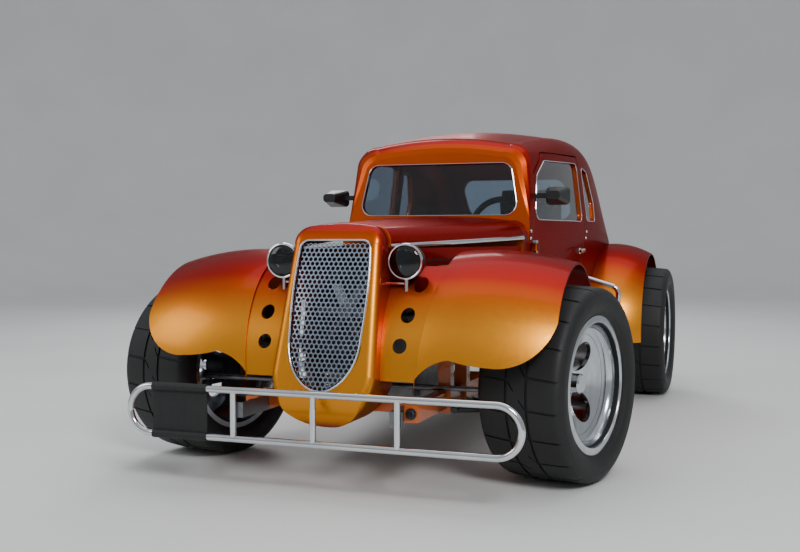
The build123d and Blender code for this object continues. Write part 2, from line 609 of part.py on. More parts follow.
def nose_block(inset):
    """Solid form of the nose, drawn in by an inset: front outline crossed with the raked side profile."""
    w, w_top = NOSE_HALF - inset, NOSE_TOP_HALF - inset
    top, chin = NOSE_TOP_Z - inset, CHIN_Z + inset
    crown_x, crown_z = 96.0 - inset, top - 8
    edge_z = NOSE_TOP_EDGE_Z - inset
    corner_x, corner_z = 0.93 * w_top, edge_z + 0.68 * (crown_z - edge_z)
    front = [
        ThreePointArc((-crown_x, 0, crown_z), (0, 0, top), (crown_x, 0, crown_z)),
        ThreePointArc((crown_x, 0, crown_z), (corner_x, 0, corner_z), (w_top, 0, edge_z)),
        Line((w_top, 0, edge_z), (w, 0, NOSE_FOOT_Z)),
        ThreePointArc((w, 0, NOSE_FOOT_Z), (0.66 * w, 0, chin + 46), (0, 0, chin)),
        ThreePointArc((0, 0, chin), (-0.66 * w, 0, chin + 46), (-w, 0, NOSE_FOOT_Z)),
        Line((-w, 0, NOSE_FOOT_Z), (-w_top, 0, edge_z)),
        ThreePointArc((-w_top, 0, edge_z), (-corner_x, 0, corner_z), (-crown_x, 0, crown_z)),
    ]
    back = NOSE_BACK_Y
    lip_z, foot_z = GRILLE_TOP[1] - 8, GRILLE_LOW[1] - 6
    lip, foot = grille_front_y(lip_z) + inset, grille_front_y(foot_z) + inset
    side = [
        Line((0, lip, lip_z), (0, foot, foot_z)),
        ThreePointArc((0, foot, foot_z), (0, foot + 22, CHIN_Z + 34 + inset), (0, foot + 92, chin - 2)),
        Polyline((0, foot + 92, chin - 2), (0, back + inset, chin - 2), (0, back + inset, top + 2),
                 (0, lip + 62, top + 2)),
        ThreePointArc((0, lip + 62, top + 2), (0, lip + 20, top - 22), (0, lip, lip_z)),
    ]
    form = prism_y(front, -FAR * 2, 0) & prism_x(side, -FAR, FAR)
    flats = [face for face in form.faces() if face.geom_type == GeomType.PLANE]
    raked = min(flats, key=lambda face: face.center().Y)
    return fillet(raked.edges(), NOSE_ROUND - inset)


def nose_half(z):
    """Half width of the nose's straight sides at a height."""
    t = (z - NOSE_FOOT_Z) / (NOSE_TOP_EDGE_Z - NOSE_FOOT_Z)
    return NOSE_HALF + t * (NOSE_TOP_HALF - NOSE_HALF)


def nose(parts):
    """Hollow nose shell with the shield opening for the grille."""
    outer = nose_block(0)
    inner = nose_block(NOSE_WALL)
    inner = inner + Pos(0, NOSE_WALL * 2, 0) * inner
    opening = prism_y(shield(GRILLE_HALF, GRILLE_TOP[1], GRILLE_LOW[1]), -FAR * 2, GRILLE_TOP[0] + 40)
    parts["grille_shell"] = outer - inner - opening


def grille_mesh(parts):
    """Perforated sheet on the raked plane, in the shield opening of the nose."""
    outline = shield(GRILLE_HALF - SEAT_GAP, GRILLE_TOP[1] - SEAT_GAP, GRILLE_LOW[1] + SEAT_GAP)
    margin = shield(GRILLE_HALF - GRILLE_EDGE, GRILLE_TOP[1] - GRILLE_EDGE, GRILLE_LOW[1] + GRILLE_EDGE)
    field = make_face(margin).face()
    cells = []
    row_step = MESH_PITCH * sin(radians(60))
    rows = int((GRILLE_TOP[1] - GRILLE_LOW[1]) / row_step)
    columns = int(2 * GRILLE_HALF / MESH_PITCH) + 1
    for i in range(rows + 1):
        z = GRILLE_LOW[1] + (i + 0.5) * row_step
        for j in range(-columns, columns + 1):
            x = (j + (0.5 if i % 2 else 0.0)) * MESH_PITCH
            turns = [radians(60 * k) for k in range(6)]
            corners = [(x + MESH_HOLE * sin(turn), 0, z + MESH_HOLE * cos(turn)) for turn in turns]
            if all(field.is_inside(Vector(*c)) for c in corners):
                cells.append(Polyline(*corners, close=True))
    holed = Face(make_face(outline).face().outer_wire(), [Wire(c.edges()) for c in cells])
    tall = Pos(0, -2 * FAR, 0) * extrude(holed, amount=2 * FAR, dir=(0, 1, 0))
    front = [(0, grille_front_y(z) + 6, z) for z in (0.0, FAR)]
    back = [(0, y + GRILLE_SHEET, z) for _, y, z in reversed(front)]
    slab = prism_x(Polyline(*front, *back, close=True), -FAR, FAR)
    parts["grille_mesh"] = tall & slab


def hood_section(row, inset, foot_z=None):
    """Arched section of hood or cowl at a station: straight edges, round shoulders and a crown."""
    y, w = row["y"], row["half"] - inset
    edge, crown = row["edge_z"], row["crown_z"] - inset
    foot = edge - (inset * 2 if inset else 0) if foot_z is None else foot_z
    rise = crown - edge
    shoulder_x, shoulder_z = SHOULDER_SHARE * w, edge + 0.80 * rise
    mid_x, mid_z = 0.945 * w, edge + 0.60 * rise
    return make_face([
        Line((-w, y, foot), (w, y, foot)),
        Line((w, y, foot), (w, y, edge + 0.12 * rise)),
        ThreePointArc((w, y, edge + 0.12 * rise), (mid_x, y, mid_z), (shoulder_x, y, shoulder_z)),
        ThreePointArc((shoulder_x, y, shoulder_z), (0, y, crown), (-shoulder_x, y, shoulder_z)),
        ThreePointArc((-shoulder_x, y, shoulder_z), (-mid_x, y, mid_z), (-w, y, edge + 0.12 * rise)),
        Line((-w, y, edge + 0.12 * rise), (-w, y, foot)),
    ])


def hood_form(inset):
    """Tapering arched form of the hood, drawn in by an inset."""
    return loft([hood_section(HOOD_FRONT, inset), hood_section(HOOD_REAR, inset)], ruled=True)


def hood_half(y):
    """Half width of the hood's edge along its length."""
    t = (y - HOOD_FRONT["y"]) / (HOOD_REAR["y"] - HOOD_FRONT["y"])
    return HOOD_FRONT["half"] + t * (HOOD_REAR["half"] - HOOD_FRONT["half"])


def hood_side_plan(inner, outer):
    """Plan outline along the left hood side, between two distances in from the hood's edge."""
    ends = [(hood_half(row["y"]), row["y"]) for row in (HOOD_FRONT, HOOD_REAR)]
    near, far = ends
    return Polyline((near[0] - inner, near[1]), (near[0] - outer, near[1]),
                    (far[0] - outer, far[1]), (far[0] - inner, far[1]), close=True)


def hood(parts):
    """Arched hood and the recessed panels under its edges."""
    parts["hood"] = hood_form(0) - hood_form(HOOD_WALL)
    panel = prism_z(hood_side_plan(SIDE_INSET + SIDE_WALL, SIDE_INSET), SIDE_LOW_Z, SIDE_TOP_Z)
    slope = block((0, FAR), (HOOD_FRONT["y"] - 1, SIDE_STEP_Y), (0, SIDE_STEP_Z))
    parts["hood_sides"] = Compound(children=both(panel - slope))


COWL_BACK = dict(y=-400.0, half=357.0, edge_z=724.0, crown_z=805.0)


def screen_cutter(offset, behind):
    """Half space in front of (or behind) the raked screen plane, moved back by an offset."""
    y, z = SCREEN_FOOT
    box = Box(4 * FAR, 2 * FAR, 4 * FAR)
    shift = Pos(0, FAR if behind else -FAR, 0)
    return Pos(0, y + offset, z) * Rot(-SCREEN_RAKE_DEG, 0, 0) * shift * box


def cowl(parts):
    """Narrow body band between hood and screen, closed in front by the firewall."""
    front = dict(HOOD_REAR, y=TUB_FRONT_Y, half=COWL_FRONT_HALF)
    outer = loft([hood_section(front, 0, SILL_Z), hood_section(COWL_BACK, 0, SILL_Z)], ruled=True)
    hollow_front = dict(front, y=front["y"] + SIDE_WALL)
    rooms = [hood_section(row, COWL_WALL, SILL_Z - 1) for row in (hollow_front, COWL_BACK)]
    inner = loft(rooms, ruled=True)
    tunnel = block((-TUNNEL_HALF, TUNNEL_HALF), (front["y"] - 1, front["y"] + 30), (0, TUNNEL_TOP_Z))
    parts["cowl"] = outer - inner - screen_cutter(-SEAT_GAP, True) - tunnel


# Cab and tail

def cab_section(row, inset, lean=0.0):
    """Closed section of cab or tail at a station, upright or leaning back with the screen."""
    w_sill, w_belt, w_rail = (row[k] - inset for k in ("sill", "belt", "rail"))
    rail_z, crown_z = row["rail_z"] - inset * 0.5, row["crown_z"] - inset
    foot = SILL_Z if not inset else SILL_Z - 5
    rise = crown_z - rail_z
    top_x, top_z = 0.76 * w_rail, rail_z + 0.74 * rise
    mid_x, mid_z = 0.945 * w_rail, rail_z + 0.47 * rise

    def at(x, z):
        """Point of the section at a distance across and a height."""
        return (x, row["y"] + lean * (z - SCREEN_FOOT[1]), z)

    belt_z = row["belt_z"]
    return make_face([
        Line(at(-w_sill, foot), at(w_sill, foot)),
        Line(at(w_sill, foot), at(w_belt, belt_z)),
        Line(at(w_belt, belt_z), at(w_rail, rail_z)),
        ThreePointArc(at(w_rail, rail_z), at(mid_x, mid_z), at(top_x, top_z)),
        ThreePointArc(at(top_x, top_z), at(0, crown_z), at(-top_x, top_z)),
        ThreePointArc(at(-top_x, top_z), at(-mid_x, mid_z), at(-w_rail, rail_z)),
        Line(at(-w_rail, rail_z), at(-w_belt, belt_z)),
        Line(at(-w_belt, belt_z), at(-w_sill, foot)),
    ])


def cab_form(inset):
    """Lofted form of cab and tail, drawn in by an inset, cut off at the raked screen plane."""
    rows = [dict(r) for r in CAB_STATIONS]
    rows[-1]["y"] -= inset
    form = loft([cab_section(r, inset) for r in rows])
    return form - screen_cutter(inset, False)


def header_cap():
    """Form whose leaning sections shrink towards the screen along a quarter circle, rounding the roof."""
    first, second = CAB_STATIONS[:2]
    sections = []
    for i in range(HEADER_STEPS + 1):
        turn = radians(90.0 * i / HEADER_STEPS)
        back = HEADER_ROUND * (1 - cos(turn))
        drawn_in = HEADER_ROUND * (1 - sin(turn)) - HEADER_CLEAR
        row = {}
        for key in CAB_COLUMNS:
            share = (SCREEN_FOOT[0] + HEADER_RUN + back - first["y"]) / (second["y"] - first["y"])
            row[key] = first[key] + share * (second[key] - first[key])
        row["y"] = SCREEN_FOOT[0] + back
        row["sill"] = row["belt"] + HEADER_ROUND
        row["belt"] += HEADER_CLEAR
        row["rail"] -= drawn_in
        row["rail_z"] -= 0.5 * drawn_in
        row["crown_z"] -= drawn_in
        sections.append(cab_section(row, 0, tan(radians(SCREEN_RAKE_DEG))))
    return loft(sections, ruled=True)


def cab_outer():
    """Cab and tail with the edge round the screen turned to a radius."""
    form = cab_form(0)
    front = form - screen_cutter(HEADER_ROUND, True)
    return (front & header_cap()) + (form - screen_cutter(HEADER_ROUND, False))


DOOR_OUTLINE = [
    (-420.0, 300.0), (-420.0, 735.0), (-372.0, 965.0), (-262.0, 1050.0), (215.0, 1064.0), (215.0, 300.0),
]
DOOR_WINDOW = [(-385.0, 792.0), (-336.0, 955.0), (-245.0, 1016.0), (180.0, 1030.0), (180.0, 792.0)]
QUARTER_WINDOW = [(262.0, 795.0), (262.0, 1020.0), (370.0, 1005.0), (440.0, 880.0), (415.0, 795.0)]
SCREEN_OUTLINE = [(-312.0, 808.0), (-276.0, 1000.0), (276.0, 1000.0), (312.0, 808.0)]
REAR_WINDOW = [(-255.0, 812.0), (-255.0, 1000.0), (255.0, 1000.0), (255.0, 812.0)]
BOOT_Y = (960.0, 1335.0)
BOOT_HALF = 232.0
BOOT_GAP = 6.0
BOOT_ROUND = 30.0
LEG_ROOM_HALF = 300.0
LEG_ROOM_TOP_Z = 770.0
LAMP_TAIL_X = 190.0
LAMP_TAIL_Z = 350.0


def grown(points, by):
    """The outline drawn outwards from its middle by a distance along each axis."""
    mid = [(min(p[i] for p in points) + max(p[i] for p in points)) / 2 for i in (0, 1)]
    return [tuple(c + (by if c > m else -by) for c, m in zip(p, mid)) for p in points]


def boot_outline(inset, bend):
    """Plan outline of the boot's opening, drawn in by an inset, with round corners."""
    half = BOOT_HALF - inset
    front, back = BOOT_Y[0] + inset, BOOT_Y[1] - inset
    return FilletPolyline((-half, front), (half, front), (half, back), (-half, back), radius=bend, close=True)


DOOR_PIN = (372.0, -414.0)
DOOR_HINGE_Z = (430.0, 690.0)
HINGE_PIN_RADIUS = 4.0
HINGE_EYE_RADIUS = 8.0
HINGE_EYE_HALF = 14.0
HINGE_ARM = 10.0
BOOT_PIN = (968.5, 801.0)
BOOT_HINGE_X = (-150.0, 150.0)


def door_hinges():
    """Forks with their pins for the left door's front pillar, and the eyes for the door."""
    x, y = DOOR_PIN
    forks, eyes = [], []
    for z in DOOR_HINGE_Z:
        reach = HINGE_EYE_HALF + SEAT_GAP
        pin = rod((x, y, z - reach - HINGE_ARM), (x, y, z + reach + HINGE_ARM), HINGE_PIN_RADIUS)
        fork = pin
        for low in (z - reach - HINGE_ARM, z + reach):
            span = (low, low + HINGE_ARM)
            boss = rod((x, y, span[0]), (x, y, span[1]), HINGE_EYE_RADIUS)
            outer = block((x - HINGE_EYE_RADIUS, x + HINGE_EYE_RADIUS), (y - 30, y), span)
            root = block((x - 32, x), (y - 30, y - 8), span)
            fork = fork + boss + outer + root
        forks.append(fork)
        span = (z - HINGE_EYE_HALF, z + HINGE_EYE_HALF)
        eye = rod((x, y, span[0]), (x, y, span[1]), HINGE_EYE_RADIUS)
        eye = eye + block((x - 22, x + HINGE_EYE_RADIUS), (y, y + 34), span)
        bore = rod((x, y, span[0] - 1), (x, y, span[1] + 1), HINGE_PIN_RADIUS + RUNNING_CLEARANCE)
        eyes.append(eye - bore)
    return forks, eyes


def boot_hinges():
    """Forks with their pins for the deck ahead of the boot lid, and the eyes for the lid."""
    y, z = BOOT_PIN
    forks, eyes = [], []
    for x in BOOT_HINGE_X:
        reach = HINGE_EYE_HALF + SEAT_GAP
        fork = rod((x - reach - HINGE_ARM, y, z), (x + reach + HINGE_ARM, y, z), HINGE_PIN_RADIUS)
        for low in (x - reach - HINGE_ARM, x + reach):
            fork = fork + rod((low, y, z), (low + HINGE_ARM, y, z), 6)
            arm_x = low + HINGE_ARM / 2
            fork = fork + rod((arm_x, y, z), (arm_x, y - 26, z + 2), HINGE_ARM / 2 - 1)
        forks.append(fork)
        eye = rod((x - HINGE_EYE_HALF, y, z), (x + HINGE_EYE_HALF, y, z), 6)
        eye = eye + rod((x, y, z), (x, y + 25, z - 42), 5)
        reach = HINGE_EYE_HALF + 1
        bore = rod((x - reach, y, z), (x + reach, y, z), HINGE_PIN_RADIUS + RUNNING_CLEARANCE)
        eyes.append(eye - bore)
    return forks, eyes


def cab(parts):
    """Body shell with its doors, boot lid, glass, hinges and tail lamps."""
    outer, inner = cab_outer(), cab_form(CAB_WALL)
    shell = outer - inner
    glass_layer = cab_form(GLASS_INSET) - cab_form(GLASS_INSET + GLASS_WALL)

    door_cut = prism_x(side_outline(DOOR_OUTLINE, 40), 200, FAR)
    door_fill = prism_x(side_outline(grown(DOOR_OUTLINE, -DOOR_GAP), 36), 200, FAR)
    window_cut = prism_x(side_outline(DOOR_WINDOW, 32), 200, FAR)
    window_fill = prism_x(side_outline(grown(DOOR_WINDOW, -SEAT_GAP), 32), 200, FAR)
    quarter_cut = prism_x(side_outline(QUARTER_WINDOW, 24), 200, FAR)
    quarter_fill = prism_x(side_outline(grown(QUARTER_WINDOW, -SEAT_GAP), 24), 200, FAR)
    screen_cut = prism_y(front_outline(SCREEN_OUTLINE, 42), -FAR, -200)
    rear_cut = prism_y(front_outline(REAR_WINDOW, 60), 560, FAR * 2)
    rear_fill = prism_y(front_outline(grown(REAR_WINDOW, -SEAT_GAP), 60), 560, FAR * 2)
    boot_plan = boot_outline(0.0, BOOT_ROUND)
    lid_plan = boot_outline(BOOT_GAP, BOOT_ROUND - BOOT_GAP / 2)
    boot_cut, boot_fill = prism_z(boot_plan, 430, FAR), prism_z(lid_plan, 430, FAR)
    axle_notch = block((200, FAR), (REAR_AXLE_Y - 75, REAR_AXLE_Y + 75), (0, TYRE_RADIUS + 90))

    left = shell & door_fill
    door_forks, door_eyes = door_hinges()
    lid_forks, lid_eyes = boot_hinges()
    parts["door_left"] = (left - window_cut).fuse(*door_eyes)
    parts["door_right"] = mirrored(parts["door_left"])
    parts["door_glass_left"] = glass_layer & window_fill
    parts["door_glass_right"] = mirrored(parts["door_glass_left"])
    parts["quarter_glass"] = Compound(children=both(glass_layer & quarter_fill))
    parts["rear_glass"] = glass_layer & rear_fill
    parts["boot_lid"] = (shell & boot_fill).fuse(*lid_eyes)
    for cutter in (door_cut, quarter_cut, axle_notch):
        shell = shell - cutter - mirrored(cutter)
    leg_room = block((-LEG_ROOM_HALF, LEG_ROOM_HALF), (-FAR, -380), (0, LEG_ROOM_TOP_Z))
    parts["body_shell"] = shell - screen_cut - rear_cut - boot_cut - leg_room
    left_forks = [fork - outer for fork in door_forks]
    parts["door_hinges"] = Compound(children=left_forks + [mirrored(fork) for fork in left_forks])
    parts["boot_hinges"] = Compound(children=[fork - outer for fork in lid_forks])

    screen_fill = prism_y(front_outline(grown(SCREEN_OUTLINE, -SEAT_GAP), 42), -FAR, -200)
    pane = screen_cutter(GLASS_INSET, True) & screen_cutter(GLASS_INSET + GLASS_WALL, False)
    parts["windscreen"] = pane & screen_fill

    back_y = CAB_STATIONS[-1]["y"]
    lamp = rod((LAMP_TAIL_X, back_y + SEAT_GAP, LAMP_TAIL_Z), (LAMP_TAIL_X, back_y + 26, LAMP_TAIL_Z), 34)
    parts["tail_lamps"] = Compound(children=both(lamp))
    return outer


# Fenders

def fender_ring(axle_y, section, span):
    """Channel swept round an axle, its section as (x, radius) of inner edge, crown and lip.

    The span is in degrees, measured up from straight ahead.
    """
    inner, crown, lip = section
    wall = FENDER_WALL

    def point(x, r):
        """Point of the section straight ahead of the axle."""
        return (x, axle_y - r, TYRE_RADIUS)

    profile = make_face([
        ThreePointArc(point(*inner), point(*crown), point(*lip)),
        Line(point(*lip), point(lip[0], lip[1] - wall)),
        ThreePointArc(point(lip[0], lip[1] - wall), point(crown[0], crown[1] - wall),
                      point(inner[0], inner[1] - wall)),
        Line(point(inner[0], inner[1] - wall), point(*inner)),
    ])
    axis = Axis((0, axle_y, TYRE_RADIUS), (-1, 0, 0))
    start, end = span
    return revolve(profile.rotate(axis, start), axis=axis, revolution_arc=end - start)


def seam_x(z):
    """Where the seam between fender and apron is, across the car, at a height."""
    (x0, z0), (x1, z1) = SEAM_FOOT, SEAM_HEAD
    return x0 + (z - z0) * (x1 - x0) / (z1 - z0)


def front_fenders(parts):
    """Open front fenders, each cut to a rounded bib in front and to the seam with its apron."""
    section = ((FENDER_INNER_X, FENDER_INNER_RADIUS), (FENDER_CROWN_X, FENDER_CROWN_RADIUS),
               (FENDER_LIP_X, FENDER_LIP_RADIUS))
    ring = fender_ring(FRONT_AXLE_Y, section, FRONT_FENDER_SPAN_DEG)
    seam_foot = (seam_x(0) + SEAT_GAP, 0, 0)
    seam_head = (seam_x(2 * FAR) + SEAT_GAP, 0, 2 * FAR)
    front_edge = [
        Polyline(seam_foot, seam_head, (FAR, 0, 2 * FAR), (FAR, 0, 640), (FENDER_LIP_X + 6, 0, 640),
                 (FENDER_LIP_X + 4, 0, 520)),
        ThreePointArc((FENDER_LIP_X + 4, 0, 520), (FENDER_LIP_X - 40, 0, 418), (477, 0, 371)),
        ThreePointArc((477, 0, 371), (420, 0, 376), (361, 0, 388)),
        ThreePointArc((361, 0, 388), (312, 0, 372), (264, 0, 331)),
        Line((264, 0, 331), seam_foot),
    ]
    keep_front = prism_y(front_edge, FRONT_AXLE_Y - FAR, FRONT_AXLE_Y)
    back_edge = Polyline(seam_foot, seam_head, (FAR, 0, 2 * FAR), (FAR, 0, 0), close=True)
    keep_back = prism_y(back_edge, FRONT_AXLE_Y, FRONT_AXLE_Y + FAR)
    fender = ring & (keep_front + keep_back)
    y0 = -760.0
    clear_body = block((0, hood_half(y0) + 20), (y0, 0), (0, FAR))
    parts["front_fender_left"] = fender - clear_body
    parts["front_fender_right"] = mirrored(parts["front_fender_left"])


APRON_RADIUS = 384.0
APRON_Z = (322.0, 640.0)
APRON_HOLES = ((212.0, 420.0), (222.0, 504.0), (236.0, 588.0))
APRON_HOLE_RADIUS = 21.0


def axle_disc(radius, half):
    """Solid cylinder about the front axle line."""
    return rod((-half, FRONT_AXLE_Y, TYRE_RADIUS), (half, FRONT_AXLE_Y, TYRE_RADIUS), radius)


def fender_aprons(parts):
    """Plate with three round holes, rolled about the axle line, between the nose and each front fender."""
    sheet = axle_disc(APRON_RADIUS, FAR) - axle_disc(APRON_RADIUS - FENDER_WALL, FAR)
    low, high = APRON_Z
    inner = [(nose_half(z) + SEAT_GAP, 0, z) for z in (low, high)]
    outer = [(seam_x(z) - SEAT_GAP, 0, z) for z in (high, low)]
    apron = sheet & prism_y(Polyline(*inner, *outer, close=True), FRONT_AXLE_Y - FAR, FRONT_AXLE_Y - 20)
    for x, z in APRON_HOLES:
        apron = apron - rod((x, FRONT_AXLE_Y - FAR, z), (x, FRONT_AXLE_Y, z), APRON_HOLE_RADIUS)
    behind_side = hood_side_plan(HOOD_FRONT["half"], SIDE_INSET - SEAT_GAP)
    apron = apron - prism_z(behind_side, SIDE_STEP_Z - SEAT_GAP, FAR)
    parts["fender_aprons"] = Compound(children=both(apron))


def rear_fenders(parts, body_form):
    """Rear fenders, cut to the body's side."""
    section = ((REAR_FENDER_INNER_X, REAR_FENDER_LIP_RADIUS), (530.0, REAR_FENDER_CROWN_RADIUS),
               (FENDER_LIP_X, REAR_FENDER_LIP_RADIUS))
    ring = fender_ring(REAR_AXLE_Y, section, REAR_FENDER_SPAN_DEG)
    parts["rear_fender_left"] = ring - body_form
    parts["rear_fender_right"] = mirrored(parts["rear_fender_left"])


# Lamps, mirrors and cabin furniture

def ball_arc(y_edge, r_edge, y_pole):
    """Arc in the plane x = 0 from a rim at (y_edge, r_edge) to a pole on the Y axis, centred on it."""
    depth = y_pole - y_edge
    radius = (r_edge**2 + depth**2) / (2 * abs(depth))
    centre = y_pole - radius if depth > 0 else y_pole + radius
    mid_r = 0.5 * r_edge
    lift = (radius**2 - mid_r**2) ** 0.5
    mid_y = centre + lift if depth > 0 else centre - lift
    return ThreePointArc((0, y_edge, r_edge), (0, mid_y, mid_r), (0, y_pole, 0))


def headlamps(parts):
    """Bullet lamps on stems from the aprons, each tied to the nose by a thin rod."""
    r = LAMP_RADIUS
    collar = 20.0
    bowl_face = [
        Line((0, 0, 0), (0, 0, r)), Line((0, 0, r), (0, collar, r)), ball_arc(collar, r, LAMP_DEPTH),
        Line((0, LAMP_DEPTH, 0), (0, 0, 0)),
    ]
    glass = r - LENS_EDGE
    middle, pole = (0, 0, 0), (0, -LENS_DEPTH, 0)
    lens_face = [Line(middle, (0, 0, glass)), ball_arc(0, glass, -LENS_DEPTH), Line(pole, middle)]
    front_y = LAMP_Y + LENS_DEPTH
    bowl = Pos(LAMP_X, front_y, LAMP_Z) * revolve(make_face(bowl_face), axis=Axis.Y)
    lens = Pos(LAMP_X, front_y - SEAT_GAP, LAMP_Z) * revolve(make_face(lens_face), axis=Axis.Y)
    parts["headlamp_buckets"] = Compound(children=both(bowl))
    parts["headlamp_lenses"] = Compound(children=both(lens))
    stem_y = front_y + collar / 2
    tie_z = LAMP_Z - 64.0
    stem = rod((LAMP_X, stem_y, 500.0), (LAMP_X, stem_y, LAMP_Z - r - SEAT_GAP), 7)
    tie = rod((nose_half(tie_z) + SEAT_GAP, stem_y, tie_z), (LAMP_X, stem_y, tie_z), 4.5)
    bracket = stem + tie - axle_disc(APRON_RADIUS + SEAT_GAP, FAR)
    parts["headlamp_brackets"] = Compound(children=both(bracket))


MIRROR_Y = (-448.0, -352.0)
MIRROR_X = 440.0
MIRROR_Z = 878.0


def mirrors(parts):
    """Pod on a short arm at the front of each door's window frame."""
    front = Plane.XZ.offset(-MIRROR_Y[0]) * RectangleRounded(50, 32, 13)
    back = Plane.XZ.offset(-MIRROR_Y[1]) * RectangleRounded(90, 66, 16)
    pod = Pos(MIRROR_X, 0, MIRROR_Z) * loft([front, back])
    arm = block((330.0, MIRROR_X - 20), (-386.0, -362.0), (MIRROR_Z - 8, MIRROR_Z + 10))
    parts["mirror_left"] = pod + arm - cab_form(-SEAT_GAP)
    parts["mirror_right"] = mirrored(parts["mirror_left"])


SEAT_X = 186.0
SEAT_HALF = 138.0


def seat(parts):
    """Bucket seat: hip and shoulder sides round a hollow for the cushions, on a box foot."""
    back = side_outline([(-150.0, 300.0), (-160.0, 385.0), (170.0, 360.0), (290.0, 930.0), (360.0, 930.0),
                         (270.0, 300.0)], 25)
    hips = side_outline([(-150.0, 300.0), (-160.0, 455.0), (120.0, 470.0), (205.0, 760.0), (300.0, 760.0),
                         (250.0, 300.0)], 25)
    room = side_outline([(-260.0, 400.0), (150.0, 372.0), (275.0, 1000.0), (-260.0, 1000.0)], 20)
    shell = prism_x(back, SEAT_X - SEAT_HALF + 14, SEAT_X + SEAT_HALF - 14)
    sides = prism_x(hips, SEAT_X - SEAT_HALF, SEAT_X + SEAT_HALF)
    cushion_room = prism_x(room, SEAT_X - SEAT_HALF + 26, SEAT_X + SEAT_HALF - 26)
    base = block((SEAT_X - 110, SEAT_X + 110), (-120.0, 230.0), (FLOOR_Z, 310.0))
    parts["seat"] = shell + sides + base - cushion_room


def dashboard(parts):
    """Dash rail under the screen, and the steering column with its wheel."""
    firewall = TUB_FRONT_Y + SIDE_WALL
    lip = block((-290, 290), (firewall + SEAT_GAP, -335.0), (688.0, 745.0))
    column = rod((SEAT_X, -340, 700.0), (SEAT_X, -150, 742.0), 18)
    axis = (Vector(SEAT_X, -150, 742.0) - Vector(SEAT_X, -340, 700.0)).normalized()
    plane = Plane(origin=(SEAT_X, -150, 742.0), z_dir=axis)
    ring = plane * Torus(135, 12)
    spokes = [plane * Rot(0, 0, 120 * i) * Pos(67, 0, 0) * Box(134, 22, 6) for i in range(3)]
    hub = plane * Cylinder(32, 16)
    wheel = ring + spokes[0] + spokes[1] + spokes[2] + hub
    parts["dashboard"] = lip
    parts["steering_column"] = (column + wheel) - lip


# Engine bay
EXHAUST_RUN = (-195.0, -900.0, 172.0)
EXHAUST_PORT_Z = 350.0
EXHAUST_END_Y = 300.0
SILENCER_Y = (-380.0, 120.0)
FAN_RADIUS = 96.0
CORE_HALF = 128.0


def engine(parts):
    """Plain engine block: crankcase, finned cylinders, head and mounting lugs."""
    y0, y1 = ENGINE_Y
    crank = fillet(block((-ENGINE_HALF, ENGINE_HALF), (y0, y1), (RAIL_TOP - 60, CRANK_TOP_Z)).edges(), 18)
    mid = (y0 + y1) / 2
    cylinders = block((-105, 105), (y0 + 60, mid + 60), (CRANK_TOP_Z - 5, ENGINE_TOP_Z - 70))
    fin_heights = range(int(CRANK_TOP_Z) + 18, int(ENGINE_TOP_Z) - 80, FIN_PITCH)
    fins = [block((-122, 122), (y0 + 44, mid + 76), (z, z + 6)) for z in fin_heights]
    head = fillet(block((-118, 118), (y0 + 50, mid + 70), (ENGINE_TOP_Z - 72, ENGINE_TOP_Z)).edges(), 14)
    tail_boss = rod((0, y1 - 10, SHAFT_Z), (0, y1, SHAFT_Z), 55)
    block_form = crank + cylinders + head + tail_boss
    for fin in fins:
        block_form = block_form + fin
    lug_half = RAIL_X - RAIL_WIDTH / 2 - SEAT_GAP
    lugs = [block((-lug_half, lug_half), (y - 18, y + 18), (225, 245)) for y in (y0 + 60, y1 - 60)]
    for lug in lugs:
        block_form = block_form + lug
    parts["engine"] = block_form


def radiator(parts):
    """Raked core behind the grille with a round fan shroud; the fan turns on the core's stub."""
    lean = Rot(-16.6, 0, 0)
    place = Pos(0, -1312.0, 505.0) * lean
    core = Pos(0, 42, 0) * Box(2 * CORE_HALF, 40, 360)
    shroud = Pos(0, 4, 0) * Box(2 * CORE_HALF, 38, 2 * CORE_HALF)
    round_room = rod((0, -20, 0), (0, 22 - 2, 0), FAN_RADIUS + 8)
    stub = rod((0, 0, 0), (0, 25, 0), 8)
    radiator_form = core + (shroud - round_room) + stub
    feet = [block((x - 12, x + 12), (-1326, -1296), (RAIL_Z + CROSS_HEIGHT / 2, 352)) for x in (-90, 90)]
    shape = place * radiator_form
    for foot in feet:
        shape = shape + foot
    parts["radiator"] = shape
    hub = rod((0, -8, 0), (0, 12, 0), 22)
    blades = [Rot(0, 60 * i, 0) * Pos(55, 2, 0) * Rot(28, 0, 0) * Box(78, 3, 26) for i in range(6)]
    fan = hub
    for blade in blades:
        fan = fan + blade
    fan = fan - rod((0, -1, 0), (0, 30, 0), 8 + RUNNING_CLEARANCE)
    parts["cooling_fan"] = place * fan


def exhaust(parts):
    """Pipe from the engine's side, down and back under the floor, with its silencer."""
    x, y, z = EXHAUST_RUN
    port_x = -ENGINE_HALF - SEAT_GAP
    route = [(port_x, y, EXHAUST_PORT_Z), (x, y, EXHAUST_PORT_Z), (x, y, z), (x, EXHAUST_END_Y, z)]
    pipe = bent_tube(route, 20, 30)
    silencer = rod((x, SILENCER_Y[0], z), (x, SILENCER_Y[1], z), 42)
    parts["exhaust"] = pipe + silencer


def build():
    """All pieces of the car by name."""
    parts = {}
    wheels(parts)
    for name, sign in (("left", 1), ("right", -1)):
        parts[f"knuckle_{name}"] = knuckle(sign)
    front_suspension(parts)
    steering_link(parts)
    rear_axle(parts)
    rear_suspension(parts)
    chassis_frame(parts)
    floor_pan(parts)
    bumpers(parts)
    side_bars(parts)
    nose(parts)
    grille_mesh(parts)
    hood(parts)
    cowl(parts)
    body_form = cab(parts)
    front_fenders(parts)
    fender_aprons(parts)
    rear_fenders(parts, body_form)
    headlamps(parts)
    mirrors(parts)
    seat(parts)
    dashboard(parts)
    engine(parts)
    radiator(parts)
    exhaust(parts)
    return parts


def main():
    """Writes each piece to its own file."""
    os.makedirs("parts", exist_ok=True)
    for name, shape in build().items():
        export_step(shape, f"parts/{name}.step")


main()
